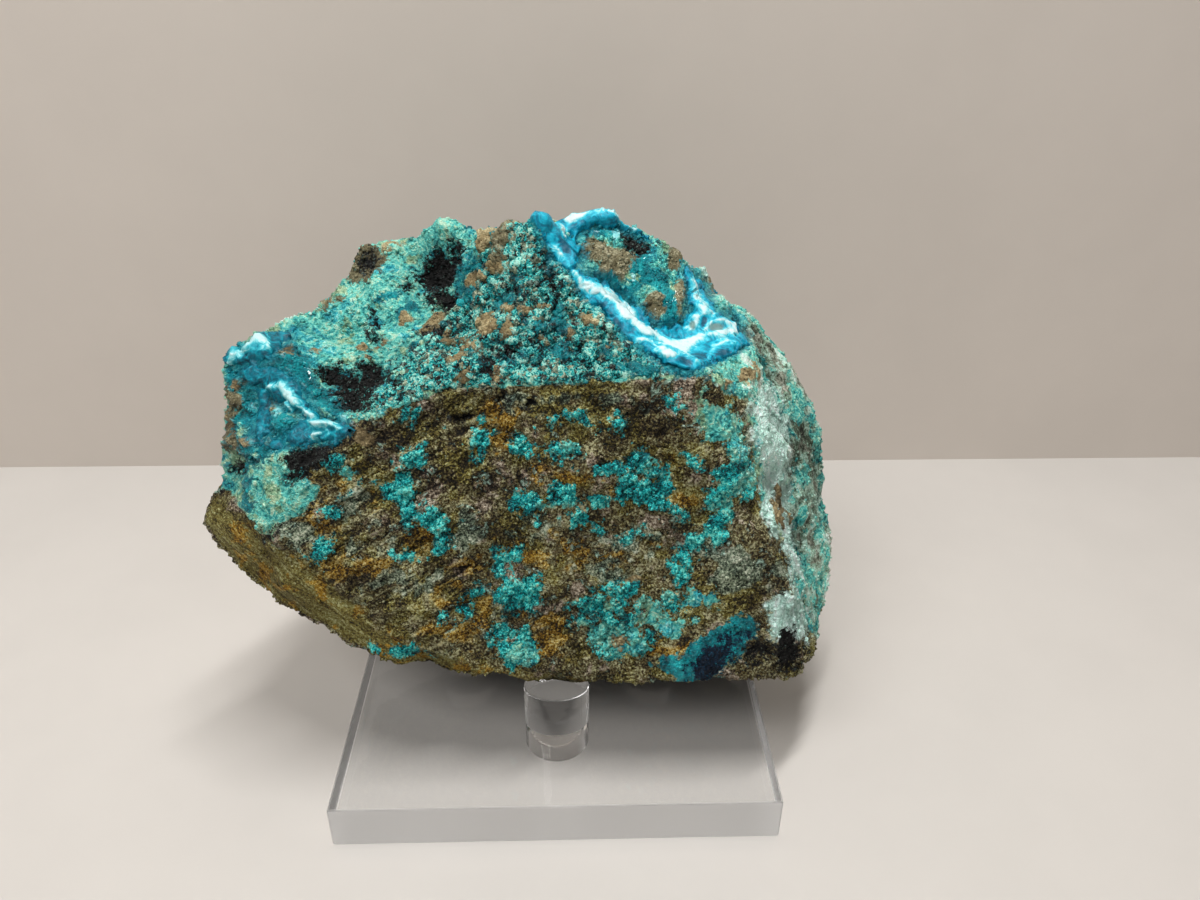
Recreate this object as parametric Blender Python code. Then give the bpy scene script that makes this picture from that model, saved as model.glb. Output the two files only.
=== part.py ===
"""Chrysocolla specimen: one rough stone resting on a clear acrylic stand with a square base and three pegs.

Run with: blender --background --python part.py
Units are metres, +Z is up, +X is to the right, and the origin is the centre of the base's underside.
"""

import math

import bmesh
import bpy
import numpy as np
from mathutils import Matrix, Vector

MM = 0.001

# The stand
BASE_SIDE = 85 * MM
BASE_THICK = 9.5 * MM
BASE_EDGE_ROUND = 0.4 * MM
PEG_DIAMETER = 12.7 * MM
PEG_CIRCLE_DIAMETER = 50.8 * MM
PEG_OUTER_HEIGHT = 16.3 * MM
PEG_SLANT = math.radians(18)
PEG_SIDES = 64
PEG_BEARINGS = {"peg_front": -90, "peg_back_right": 30, "peg_back_left": 150}
GAP = 0.3 * MM

# The stone: its heart, and its corners as (right, back, up) in millimetres
HEART_MM = (0, 2, 56)
CORNERS_MM = {
    # lower edge of the front face
    "front foot": (0, -28.5, 27),
    "front foot left": (-16.5, -28, 29),
    "front foot far left": (-29.5, -26.5, 30.5),
    "front foot right": (20.5, -28.5, 27),
    "front foot far right": (37.5, -28, 27.5),
    "right heel": (48, -23, 23.5),
    "right heel back": (53, -15, 21),
    # front face
    "front top left": (-21.5, -16.5, 82),
    "front top middle": (1.5, -16, 84.5),
    "front top right": (28, -16, 84),
    "front shoulder left": (-35.5, -18, 76),
    "front cheek left": (-44, -19, 69),
    "front corner left": (-50.5, -20.5, 57),
    "front keel left": (-32, -24.5, 44.5),
    "front keel middle": (-18.5, -26.5, 35),
    "front right upper": (32.5, -19, 71),
    "front right middle": (36.5, -21.5, 58),
    "front right lower": (43.5, -25, 42.5),
    # left flank
    "left tip": (-66.5, -11, 53),
    "left flank low": (-63.5, -8, 60),
    "left flank middle": (-62.5, -4, 69),
    "left flank top": (-61.5, 3, 81),
    "left knob top": (-55, 6, 84.5),
    "left shoulder": (-47.5, 14, 85.5),
    "left hump": (-42.5, 22, 91),
    "left hump top": (-39, 24, 96),
    "keel": (-38, -24, 34),
    "keel middle": (-46, -21, 38.5),
    "keel left": (-57, -16, 43),
    "keel tip": (-63.5, -13, 49),
    "knob crest top": (-53.5, 0, 83.5),
    "knob crest": (-46.5, -8, 79.5),
    "knob foot": (-39, -15, 75.5),
    "cheek upper": (-52, -13, 71.5),
    "cheek lower": (-54, -15, 62.5),
    # top
    "top left": (-28.5, 24, 97),
    "top left peak": (-21, 18, 102.5),
    "saddle": (-12.5, 12, 101.5),
    "apex": (-1.5, 4, 107.5),
    "notch": (1.5, 8, 105),
    "second apex": (9, 13, 105.5),
    "block top": (18.5, 15, 100.5),
    "block corner": (25.5, 17, 95),
    # hollow in the top left
    "hollow floor": (-35.5, -6, 79),
    "hollow floor right": (-27.5, -7, 82),
    "hollow middle": (-32, 8, 86),
    "hollow high": (-26, 17, 92.5),
    "hollow left": (-42.5, 10, 83),
    "step low": (-15, 2, 88),
    "step high": (-17, 14, 98.5),
    "step back": (-19, 10, 91),
    # middle face above the front face
    "face middle": (-5.5, -6, 95),
    "face left": (-14, -13, 87),
    "face right": (12, -8, 89.5),
    "ridge high": (2.5, 3, 102),
    "ridge middle": (10.5, -3, 94),
    "ridge low": (19, -8, 87.5),
    "ridge end": (26.5, -13, 85),
    # vein groove and the block behind it
    "groove high": (3.5, 9, 102.5),
    "groove middle": (13, 4, 90.5),
    "groove low": (21.5, -2, 84),
    "groove end": (31, -3, 83.5),
    "groove pocket": (35, 2, 84),
    "block face": (12.5, 9, 97.5),
    "block face low": (20, 5, 89),
    "block edge": (26, 8, 89.5),
    "block edge low": (26, 3, 84.5),
    # right flank
    "far block": (32.5, 26, 87.5),
    "far shoulder": (41, 24, 78.5),
    "right shoulder": (50, 17, 69),
    "right brow": (56.5, 11, 57.5),
    "right bulge": (60.5, 6, 37.5),
    "right bulge low": (59, 0, 27),
    "right low": (56.5, -7, 22),
    "right face top": (35, -9, 79),
    "right face middle": (42.5, -6, 64.5),
    "right face low": (47.5, -9, 48),
    "right rib": (52.5, 2, 53),
    "right rib low": (53.5, -6, 36),
    # back
    "back top left": (-36, 32, 86),
    "back top": (-12, 31, 91),
    "back top right": (18, 31, 85),
    "back ledge": (-30, 42, 72),
    "back notch": (8, 38, 71),
    "back middle": (-6, 46, 60),
    "back middle right": (28, 42, 55),
    "back left": (-54, 25, 62),
    "back left ridge": (-42, 36, 50),
    "back right": (46, 30, 54),
    "back low left": (-47, 23, 40),
    "back low middle": (-20, 37, 35),
    "back low": (4, 33, 31),
    "back low right": (34, 30, 32),
    "back far right": (54, 17, 38),
    # underside
    "under middle": (0, 3, 17),
    "under left": (-29, -6, 24),
    "under far left": (-47, 4, 35),
    "under right": (30, -8, 21.5),
    "under far right": (46, 6, 23),
    "under back left": (-24, 24, 27),
    "under back right": (24, 24, 27),
    "seat front": (0, -25, 24.5),
    "seat back right": (22, 12.5, 24.5),
    "seat back left": (-22, 12.5, 24.5),
}
CAGE_CUTS = 4

# The stone's roughness: (size of a lump, its height, seed), in millimetres
LUMPS_MM = ((22, 2.2, 11), (10, 1.2, 12), (5, 0.7, 13))
SEAT_RADIUS = 10 * MM
SEAT_FALL = 1.0


def clear_scene():
    """Removes whatever the file holds."""
    for obj in list(bpy.data.objects):
        bpy.data.objects.remove(obj)


def make_material(name, color, roughness, metallic=0.0, transmission=0.0, ior=1.5):
    """A Principled material with one colour."""
    material = bpy.data.materials.new(name)
    material.use_nodes = True
    shader = material.node_tree.nodes["Principled BSDF"]
    shader.inputs["Base Color"].default_value = (*color, 1.0)
    shader.inputs["Roughness"].default_value = roughness
    shader.inputs["Metallic"].default_value = metallic
    shader.inputs["Transmission Weight"].default_value = transmission
    shader.inputs["IOR"].default_value = ior
    return material


def add_object(name, mesh, material):
    """Puts a mesh into the scene under its node's name."""
    obj = bpy.data.objects.new(name, mesh)
    obj.data.materials.append(material)
    bpy.context.scene.collection.objects.link(obj)
    return obj


def smooth_noise(points, cell, seed):
    """Noise between -1 and 1: random values on a cubic lattice, blended smoothly between its nodes."""
    scaled = np.asarray(points) / cell
    low = np.floor(scaled).astype(np.int64)
    part = scaled - low
    blend = part * part * (3 - 2 * part)
    total = np.zeros(len(scaled))
    for corner in np.ndindex(2, 2, 2):
        node = low + corner
        key = (node[:, 0] * 73856093) ^ (node[:, 1] * 19349663) ^ (node[:, 2] * 83492791)
        key = (key ^ (seed * 2654435761)) & 0xFFFFFFFF
        key = ((key ^ (key >> 13)) * 1274126177) & 0xFFFFFFFF
        value = ((key ^ (key >> 16)) & 0xFFFF) / 32767.5 - 1
        weight = np.where(corner, blend, 1 - blend).prod(axis=1)
        total += weight * value
    return total


def peg_place(bearing):
    """The peg's axis on the stand, and its outward direction."""
    outward = Vector((math.cos(math.radians(bearing)), math.sin(math.radians(bearing)), 0))
    return outward * (PEG_CIRCLE_DIAMETER / 2), outward


def peg_top_height():
    """Height of the middle of a peg's slanted top above the shelf."""
    fall = math.tan(PEG_SLANT) * PEG_DIAMETER / 2
    return BASE_THICK + PEG_OUTER_HEIGHT - fall


def seat_height(x, y):
    """The lowest that the stone may reach at (x, y): over each peg, the plane of its slanted top plus the gap."""
    lowest = np.full(len(x), -1.0)
    for bearing in PEG_BEARINGS.values():
        place, outward = peg_place(bearing)
        along = (x - place.x) * outward.x + (y - place.y) * outward.y
        plane = peg_top_height() + GAP / math.cos(PEG_SLANT) + along * math.tan(PEG_SLANT)
        away = np.hypot(x - place.x, y - place.y)
        plane = plane - SEAT_FALL * np.maximum(away - SEAT_RADIUS, 0)
        lowest = np.maximum(lowest, plane)
    return lowest


def stone_cage():
    """A closed net of triangles over the stone's corners, as seen from its heart."""
    heart = Vector(HEART_MM) * MM
    bm = bmesh.new()
    reach = {}
    for corner in CORNERS_MM.values():
        arm = Vector(corner) * MM - heart
        vert = bm.verts.new(arm.normalized())
        reach[vert] = arm.length
    bmesh.ops.convex_hull(bm, input=list(bm.verts))
    for vert in bm.verts:
        vert.co = heart + vert.co * reach[vert]
    return bm


def make_stone(material):
    """The rough stone: its cage cut finer, pushed out and in by lumps, and cleared over the pegs."""
    bm = stone_cage()
    bmesh.ops.subdivide_edges(bm, edges=list(bm.edges), cuts=CAGE_CUTS, use_grid_fill=True)
    bmesh.ops.triangulate(bm, faces=list(bm.faces))
    points = np.array([vert.co for vert in bm.verts])
    outward = points - np.array(HEART_MM) * MM
    outward /= np.linalg.norm(outward, axis=1)[:, None]
    for size, height, seed in LUMPS_MM:
        points = points + outward * (smooth_noise(points, size * MM, seed) * height * MM)[:, None]
    low = points[:, 2] < HEART_MM[2] * MM
    floor = seat_height(points[:, 0], points[:, 1])
    points[:, 2] = np.where(low, np.maximum(points[:, 2], floor), points[:, 2])
    for vert, place in zip(bm.verts, points):
        vert.co = place
    bmesh.ops.recalc_face_normals(bm, faces=list(bm.faces))
    mesh = bpy.data.meshes.new("stone")
    bm.to_mesh(mesh)
    bm.free()
    return add_object("stone", mesh, material)


def make_base(material):
    """The stand's square base, with its edges just broken."""
    bm = bmesh.new()
    bmesh.ops.create_cube(bm, size=1.0)
    bmesh.ops.scale(bm, vec=(BASE_SIDE, BASE_SIDE, BASE_THICK), verts=list(bm.verts))
    bmesh.ops.translate(bm, vec=(0, 0, BASE_THICK / 2), verts=list(bm.verts))
    bmesh.ops.bevel(
        bm, geom=list(bm.edges), offset=BASE_EDGE_ROUND, segments=2, profile=0.5, affect="EDGES"
    )
    mesh = bpy.data.meshes.new("stand_base")
    bm.to_mesh(mesh)
    bm.free()
    return add_object("stand_base", mesh, material)


def make_peg(name, bearing, material):
    """One round peg, whose top is cut at a slant that falls toward the stand's middle."""
    place, outward = peg_place(bearing)
    bm = bmesh.new()
    bmesh.ops.create_cone(
        bm,
        cap_ends=True,
        segments=PEG_SIDES,
        radius1=PEG_DIAMETER / 2,
        radius2=PEG_DIAMETER / 2,
        depth=1.0,
        matrix=Matrix.Translation(place),
    )
    bottom = BASE_THICK + GAP
    for vert in bm.verts:
        along = (vert.co - place).dot(outward)
        top = peg_top_height() + along * math.tan(PEG_SLANT)
        vert.co.z = top if vert.co.z > 0 else bottom
    mesh = bpy.data.meshes.new(name)
    bm.to_mesh(mesh)
    bm.free()
    return add_object(name, mesh, material)


def build():
    """Makes the whole specimen."""
    clear_scene()
    rock = make_material("rough chrysocolla rock", (0.16, 0.22, 0.16), 0.75)
    acrylic = make_material("clear acrylic", (0.96, 0.97, 0.97), 0.03, transmission=1.0, ior=1.49)
    make_stone(rock)
    make_base(acrylic)
    for name, bearing in PEG_BEARINGS.items():
        make_peg(name, bearing, acrylic)


build()
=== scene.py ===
"""Looks of a chrysocolla specimen: a rough stone with a blue vein, and its clear acrylic stand.

The shape functions work in millimetres and the meshes are in metres, with +Z up and the viewer toward -Y.
"""

import math

import bmesh
import bpy
import numpy as np
from bpy.props import FloatProperty, FloatVectorProperty, IntProperty, PointerProperty
from mathutils import Matrix, Vector


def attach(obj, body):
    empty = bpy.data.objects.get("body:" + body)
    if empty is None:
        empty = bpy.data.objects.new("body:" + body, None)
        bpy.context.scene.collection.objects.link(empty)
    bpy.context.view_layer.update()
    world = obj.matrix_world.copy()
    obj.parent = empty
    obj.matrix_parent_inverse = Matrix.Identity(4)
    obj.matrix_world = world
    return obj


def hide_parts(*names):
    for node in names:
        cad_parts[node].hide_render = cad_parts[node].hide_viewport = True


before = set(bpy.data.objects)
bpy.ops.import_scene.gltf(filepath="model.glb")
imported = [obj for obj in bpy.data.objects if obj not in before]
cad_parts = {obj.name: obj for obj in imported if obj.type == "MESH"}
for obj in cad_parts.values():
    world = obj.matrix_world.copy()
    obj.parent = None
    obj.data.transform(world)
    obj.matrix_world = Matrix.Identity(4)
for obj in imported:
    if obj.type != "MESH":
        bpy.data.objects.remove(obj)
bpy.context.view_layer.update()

bl_info = {
    "name": "Chrysocolla Specimen",
    "version": (1, 0, 0),
    "blender": (4, 5, 0),
    "location": "View3D > Sidebar > Specimen",
    "description": "Makes a rough chrysocolla stone on a clear acrylic stand",
    "category": "Add Mesh",
}

MM = 0.001


# --- The viewpoint ---
# Places in its view are given as (across, down) from the view's upper left corner.
FRAME_WIDTH = 1200
FRAME_HEIGHT = 900
FOCAL_LENGTH = 929.66
SENSOR_MM = 36.0
EYE = np.array([3.65, -159.69, 152.69])
YAW = math.radians(-1.895)
PITCH = math.radians(29.72)
ROLL = math.radians(0.477)
SEEN_PER_MM = 5.1


def view_axes():
    """The viewpoint's right, down and forward directions, as columns."""
    right = np.array([1.0, 0.0, 0.0])
    forward = np.array([0.0, math.cos(PITCH), -math.sin(PITCH)])
    up = np.array([0.0, math.sin(PITCH), math.cos(PITCH)])
    rolled_right = right * math.cos(ROLL) + up * math.sin(ROLL)
    rolled_up = up * math.cos(ROLL) - right * math.sin(ROLL)
    return np.array(Matrix.Rotation(YAW, 3, "Z")) @ np.stack([rolled_right, -rolled_up, forward], axis=1)


VIEW_AXES = view_axes()


def seen(points):
    """How far across and down each point stands in the view."""
    turned = (points - EYE) @ VIEW_AXES
    across = FRAME_WIDTH / 2 + FOCAL_LENGTH * turned[:, 0] / turned[:, 2]
    down = FRAME_HEIGHT / 2 + FOCAL_LENGTH * turned[:, 1] / turned[:, 2]
    return across, down


# --- Noise and blending ---
# large factors that scramble whole numbers, and the bits that are kept
X_FACTOR = 73856093
Y_FACTOR = 19349663
Z_FACTOR = 83492791
SEED_FACTOR = 2654435761
LAST_FACTOR = 1274126177
LOW_32_BITS = 0xFFFFFFFF
LOW_16_BITS = 0xFFFF
# how far apart, in millimetres, the copies of a noise are taken
OCTAVE_SHIFT = 17.3


def lattice_value(node, seed):
    """A fixed random number between -1 and 1 for each whole-number place."""
    key = (node[:, 0] * X_FACTOR) ^ (node[:, 1] * Y_FACTOR) ^ (node[:, 2] * Z_FACTOR)
    key = (key ^ (seed * SEED_FACTOR)) & LOW_32_BITS
    key = ((key ^ (key >> 13)) * LAST_FACTOR) & LOW_32_BITS
    return ((key ^ (key >> 16)) & LOW_16_BITS) / (LOW_16_BITS / 2) - 1


def smooth_noise(points, cell, seed):
    """Noise between -1 and 1: random values on a cubic lattice, blended smoothly between its nodes."""
    scaled = points / cell
    low = np.floor(scaled).astype(np.int64)
    part = scaled - low
    blend = part * part * (3 - 2 * part)
    total = np.zeros(len(scaled))
    for corner in np.ndindex(2, 2, 2):
        weight = np.ones(len(scaled))
        for axis in range(3):
            weight *= blend[:, axis] if corner[axis] else 1 - blend[:, axis]
        total += weight * lattice_value(low + corner, seed)
    return total


def fractal(points, cell, seed, octaves=4, gain=0.55):
    """Smooth noise plus ever finer, ever weaker copies of itself."""
    total = np.zeros(len(points))
    height = 1.0
    for octave in range(octaves):
        total += height * smooth_noise(points + OCTAVE_SHIFT * octave, cell / 2**octave, seed + octave)
        height *= gain
    return total


# how far a grain's centre may lie from its cell's middle, in cells
GRAIN_SHIFT = 0.45
# a flat grain is thinner along its second direction, and a little smaller than a round one
FLAT_THINNING = 1.3
FLAT_SHRINKING = 1.25


def nearest_grain(points, cell, seed, flat=False):
    """Distance, in cells, to the nearest of random centres, one in each lattice cell, and its number.

    A flat grain measures distance as the largest of three turned coordinates, which gives it flat sides.
    """
    scaled = points / cell
    low = np.floor(scaled).astype(np.int64)
    nearest = np.full(len(scaled), np.inf)
    number = np.zeros(len(scaled))
    for step in np.ndindex(3, 3, 3):
        node = low + np.array(step) - 1
        value = [lattice_value(node, seed + k) for k in range(3)]
        offset = scaled - node - 0.5 - GRAIN_SHIFT * np.stack(value, axis=1)
        if flat:
            first = unit(np.stack([value[1], value[2], value[0]], axis=1) + 0.1)
            second = unit(np.cross(first, np.roll(first, 1, axis=1) + 0.05))
            third = np.cross(first, second)
            sides = [np.abs((offset * axis).sum(axis=1)) for axis in (first, second, third)]
            distance = np.maximum(np.maximum(sides[0], sides[1] * FLAT_THINNING), sides[2]) * FLAT_SHRINKING
        else:
            distance = np.sqrt((offset * offset).sum(axis=1))
        closer = distance < nearest
        nearest = np.where(closer, distance, nearest)
        number = np.where(closer, value[0], number)
    return nearest, number


def ease(low, high, value):
    """0 below low, 1 above high, and a smooth step between."""
    part = np.clip((value - low) / (high - low), 0, 1)
    return part * part * (3 - 2 * part)


def unit(vectors):
    """Each vector at length one."""
    return vectors / np.linalg.norm(vectors, axis=-1, keepdims=True)


# --- The stone's form ---
HEART = np.array([0.0, 2.0, 56.0])
CORNERS = {
    # lower edge of the front face
    "front foot": (0, -28.5, 27),
    "front foot left": (-16.5, -28, 29),
    "front foot far left": (-29.5, -26.5, 30.5),
    "front foot right": (20.5, -28.5, 27),
    "front foot far right": (37.5, -28, 27.5),
    "right heel": (48, -23, 23.5),
    "right heel back": (53, -15, 21),
    # front face
    "front top left": (-21.5, -16.5, 82),
    "front top middle": (1.5, -16, 84.5),
    "front top right": (28, -16, 84),
    "front shoulder left": (-35.5, -18, 76),
    "front cheek left": (-44, -19, 69),
    "front corner left": (-50.5, -20.5, 57),
    "front keel left": (-32, -24.5, 44.5),
    "front keel middle": (-18.5, -26.5, 35),
    "front right upper": (32.5, -19, 71),
    "front right middle": (36.5, -21.5, 58),
    "front right lower": (43.5, -25, 42.5),
    # left flank
    "left tip": (-66.5, -11, 53),
    "left flank low": (-63.5, -8, 60),
    "left flank middle": (-62.5, -4, 69),
    "left flank top": (-61.5, 3, 81),
    "left knob top": (-55, 6, 84.5),
    "left shoulder": (-47.5, 14, 85.5),
    "left hump": (-42.5, 22, 91),
    "left hump top": (-39, 24, 96),
    "keel": (-38, -24, 34),
    "keel middle": (-46, -21, 38.5),
    "keel left": (-57, -16, 43),
    "keel tip": (-63.5, -13, 49),
    "knob crest top": (-53.5, 0, 83.5),
    "knob crest": (-46.5, -8, 79.5),
    "knob foot": (-39, -15, 75.5),
    "cheek upper": (-52, -13, 71.5),
    "cheek lower": (-54, -15, 62.5),
    # top
    "top left": (-28.5, 24, 97),
    "top left peak": (-21, 18, 102.5),
    "saddle": (-12.5, 12, 101.5),
    "apex": (-1.5, 4, 107.5),
    "notch": (1.5, 8, 105),
    "second apex": (9, 13, 105.5),
    "block top": (18.5, 15, 100.5),
    "block corner": (25.5, 17, 95),
    # hollow in the top left
    "hollow floor": (-35.5, -6, 79),
    "hollow floor right": (-27.5, -7, 82),
    "hollow middle": (-32, 8, 86),
    "hollow high": (-26, 17, 92.5),
    "hollow left": (-42.5, 10, 83),
    "step low": (-15, 2, 88),
    "step high": (-17, 14, 98.5),
    "step back": (-19, 10, 91),
    # middle face above the front face
    "face middle": (-5.5, -6, 95),
    "face left": (-14, -13, 87),
    "face right": (12, -8, 89.5),
    "ridge high": (2.5, 3, 102),
    "ridge middle": (10.5, -3, 94),
    "ridge low": (19, -8, 87.5),
    "ridge end": (26.5, -13, 85),
    # vein groove and the block behind it
    "groove high": (3.5, 9, 102.5),
    "groove middle": (13, 4, 90.5),
    "groove low": (21.5, -2, 84),
    "groove end": (31, -3, 83.5),
    "groove pocket": (35, 2, 84),
    "block face": (12.5, 9, 97.5),
    "block face low": (20, 5, 89),
    "block edge": (26, 8, 89.5),
    "block edge low": (26, 3, 84.5),
    # right flank
    "far block": (32.5, 26, 87.5),
    "far shoulder": (41, 24, 78.5),
    "right shoulder": (50, 17, 69),
    "right brow": (56.5, 11, 57.5),
    "right bulge": (60.5, 6, 37.5),
    "right bulge low": (59, 0, 27),
    "right low": (56.5, -7, 22),
    "right face top": (35, -9, 79),
    "right face middle": (42.5, -6, 64.5),
    "right face low": (47.5, -9, 48),
    "right rib": (52.5, 2, 53),
    "right rib low": (53.5, -6, 36),
    # back
    "back top left": (-36, 32, 86),
    "back top": (-12, 31, 91),
    "back top right": (18, 31, 85),
    "back ledge": (-30, 42, 72),
    "back notch": (8, 38, 71),
    "back middle": (-6, 46, 60),
    "back middle right": (28, 42, 55),
    "back left": (-54, 25, 62),
    "back left ridge": (-42, 36, 50),
    "back right": (46, 30, 54),
    "back low left": (-47, 23, 40),
    "back low middle": (-20, 37, 35),
    "back low": (4, 33, 31),
    "back low right": (34, 30, 32),
    "back far right": (54, 17, 38),
    # underside
    "under middle": (0, 3, 17),
    "under left": (-29, -6, 24),
    "under far left": (-47, 4, 35),
    "under right": (30, -8, 21.5),
    "under far right": (46, 6, 23),
    "under back left": (-24, 24, 27),
    "under back right": (24, 24, 27),
    "seat front": (0, -25, 24.5),
    "seat back right": (22, 12.5, 24.5),
    "seat back left": (-22, 12.5, 24.5),
}
# width of each size of lump, its height and its seed
LUMPS = ((22, 2.2, 11), (10, 1.2, 12), (5, 0.7, 13))
CREASE_WANDER = 0.018
CREASE_BALL = 50.0
CREASE_CELL = 9.0
CREASE_SEED = 60
NORMAL_STEP = 0.012
SHARE_CHUNK = 8192

# bearing of each peg from the base's middle, in degrees
PEGS = {"peg_front": -90, "peg_back_right": 30, "peg_back_left": 150}
PEG_CIRCLE_RADIUS = 25.4
PEG_RADIUS = 6.35
PEG_OUTER_TOP = 25.8
PEG_SLANT = math.radians(18)
PEG_SLOPE = math.tan(PEG_SLANT)
PEG_MIDDLE_TOP = PEG_OUTER_TOP - PEG_SLOPE * PEG_RADIUS
SEAT_GAP = 0.3
SEAT_RADIUS = 10.0


def cage_inverses():
    """For each triangle that joins the stone's corners, the matrix that turns a direction into shares of its
    corners. The triangles are the hull of the corners' directions from the heart."""
    arms = np.array(list(CORNERS.values()), dtype=float) - HEART
    bm = bmesh.new()
    for place in unit(arms):
        bm.verts.new(place)
    bm.verts.index_update()
    hull = bmesh.ops.convex_hull(bm, input=list(bm.verts))
    triangles = [part for part in hull["geom"] if isinstance(part, bmesh.types.BMFace)]
    faces = [[corner.index for corner in triangle.verts] for triangle in triangles]
    bm.free()
    return np.linalg.inv(arms[np.array(faces)])


CAGE = cage_inverses()


def cage_reach(directions):
    """How far the cage lies from the heart. A direction is u a + v b + w c for the corners a, b and c of the
    one triangle that it crosses, with u, v and w all positive, and it meets it at 1 / (u + v + w)."""
    reach = np.empty(len(directions))
    for start in range(0, len(directions), SHARE_CHUNK):
        some = directions[start : start + SHARE_CHUNK]
        shares = [some @ CAGE[:, :, corner].T for corner in range(3)]
        total = shares[0] + shares[1] + shares[2]
        least = np.minimum(np.minimum(shares[0], shares[1]), shares[2])
        crossed = np.argmax(np.where(total > 0, least / total, -np.inf), axis=1)
        reach[start : start + SHARE_CHUNK] = 1 / total[np.arange(len(some)), crossed]
    return reach


def stone_form(directions):
    """The stone without its relief: the cage, its creases wandering a little, pushed out and in by lumps."""
    wander = [smooth_noise(directions * CREASE_BALL, CREASE_CELL, CREASE_SEED + axis) for axis in range(3)]
    wander = np.stack(wander, axis=1) * CREASE_WANDER
    reach = (cage_reach(unit(directions + wander)) + cage_reach(unit(directions - wander))) / 2
    points = HEART + directions * reach[:, None]
    for size, height, seed in LUMPS:
        points = points + directions * (smooth_noise(points, size, seed) * height)[:, None]
    return points


def form_normals(directions, points):
    """The outward direction of the form: across two points a small step away."""
    first = unit(np.cross(directions, [0.3, 0.5, 0.81]))
    second = np.cross(directions, first)
    ahead = stone_form(unit(directions + NORMAL_STEP * first)) - points
    aside = stone_form(unit(directions + NORMAL_STEP * second)) - points
    return unit(np.cross(ahead, aside))


def level_direction(bearing):
    """The level direction at this bearing, in degrees from +X toward +Y."""
    return np.array([math.cos(math.radians(bearing)), math.sin(math.radians(bearing))])


def seat_height(points):
    """The lowest that the stone may reach: over each peg, the plane of its slanted top plus the gap.
    Away from the pegs it falls one for one."""
    lowest = np.full(len(points), -1.0)
    for bearing in PEGS.values():
        outward = level_direction(bearing)
        offset = points[:, :2] - outward * PEG_CIRCLE_RADIUS
        plane = PEG_MIDDLE_TOP + SEAT_GAP / math.cos(PEG_SLANT) + (offset @ outward) * PEG_SLOPE
        away = np.linalg.norm(offset, axis=1)
        lowest = np.maximum(lowest, plane - np.maximum(away - SEAT_RADIUS, 0))
    return lowest


def clear_pegs(points):
    """Lifts the underside clear of the pegs."""
    low = points[:, 2] < HEART[2]
    lifted = np.maximum(points[:, 2], seat_height(points))
    points[:, 2] = np.where(low, lifted, points[:, 2])
    return points


# --- Where each mineral shows on the side that is seen: outlines and patches in the view ---
# corners of the outline of each large area, in order
OUTLINES = {
    "rock": (
        (190, 520), (216, 486), (227, 489), (240, 507), (250, 516), (262, 530), (272, 541), (277, 529),
        (290, 520), (304, 511), (314, 500), (321, 487), (306, 478), (300, 465), (308, 448), (325, 440),
        (344, 426), (369, 419), (390, 409), (421, 398), (449, 387), (478, 388), (524, 385), (577, 382),
        (650, 379), (712, 376), (719, 392), (744, 398), (752, 430), (757, 478), (763, 512), (778, 532),
        (792, 548), (796, 588), (806, 618), (815, 636), (820, 700), (560, 720), (400, 700), (200, 620),
    ),
    "pebbly": (
        (541, 203), (500, 215), (478, 240), (484, 262), (474, 290), (458, 310), (430, 340), (402, 370),
        (372, 405), (360, 420), (390, 409), (421, 397), (449, 386), (524, 384), (577, 381), (712, 375),
        (700, 362), (660, 353), (625, 328), (600, 305), (578, 282), (566, 262), (552, 240), (545, 220),
    ),
    "keel": (
        (190, 500), (216, 489), (232, 506), (262, 530), (300, 558), (340, 590), (380, 620), (420, 643),
        (470, 658), (540, 672), (640, 690), (500, 740), (180, 680),
    ),
    "flank": (
        (742, 396), (742, 372), (728, 352), (745, 345), (745, 318), (700, 290), (692, 262), (760, 270),
        (860, 420), (870, 560), (830, 700), (815, 636), (806, 618), (796, 588), (792, 548), (778, 532),
        (763, 512), (757, 478), (752, 430),
    ),
    "strip": (
        (750, 395), (770, 385), (790, 425), (792, 480), (790, 512), (797, 546), (800, 588), (812, 622),
        (806, 640), (770, 640), (768, 606), (790, 590), (790, 552), (776, 534), (762, 514), (757, 478),
    ),
    "knob": (
        (214, 345), (245, 330), (262, 326), (300, 345), (322, 385), (345, 420), (338, 436), (318, 446),
        (292, 446), (262, 470), (214, 470),
    ),
    "block": (
        (580, 244), (592, 228), (612, 224), (648, 235), (672, 246), (684, 270), (690, 300), (682, 326),
        (664, 330), (644, 326), (628, 308), (608, 290), (592, 276),
    ),
}
# the rock shows its layers to the left of this
LAYERS_END = 480

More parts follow.
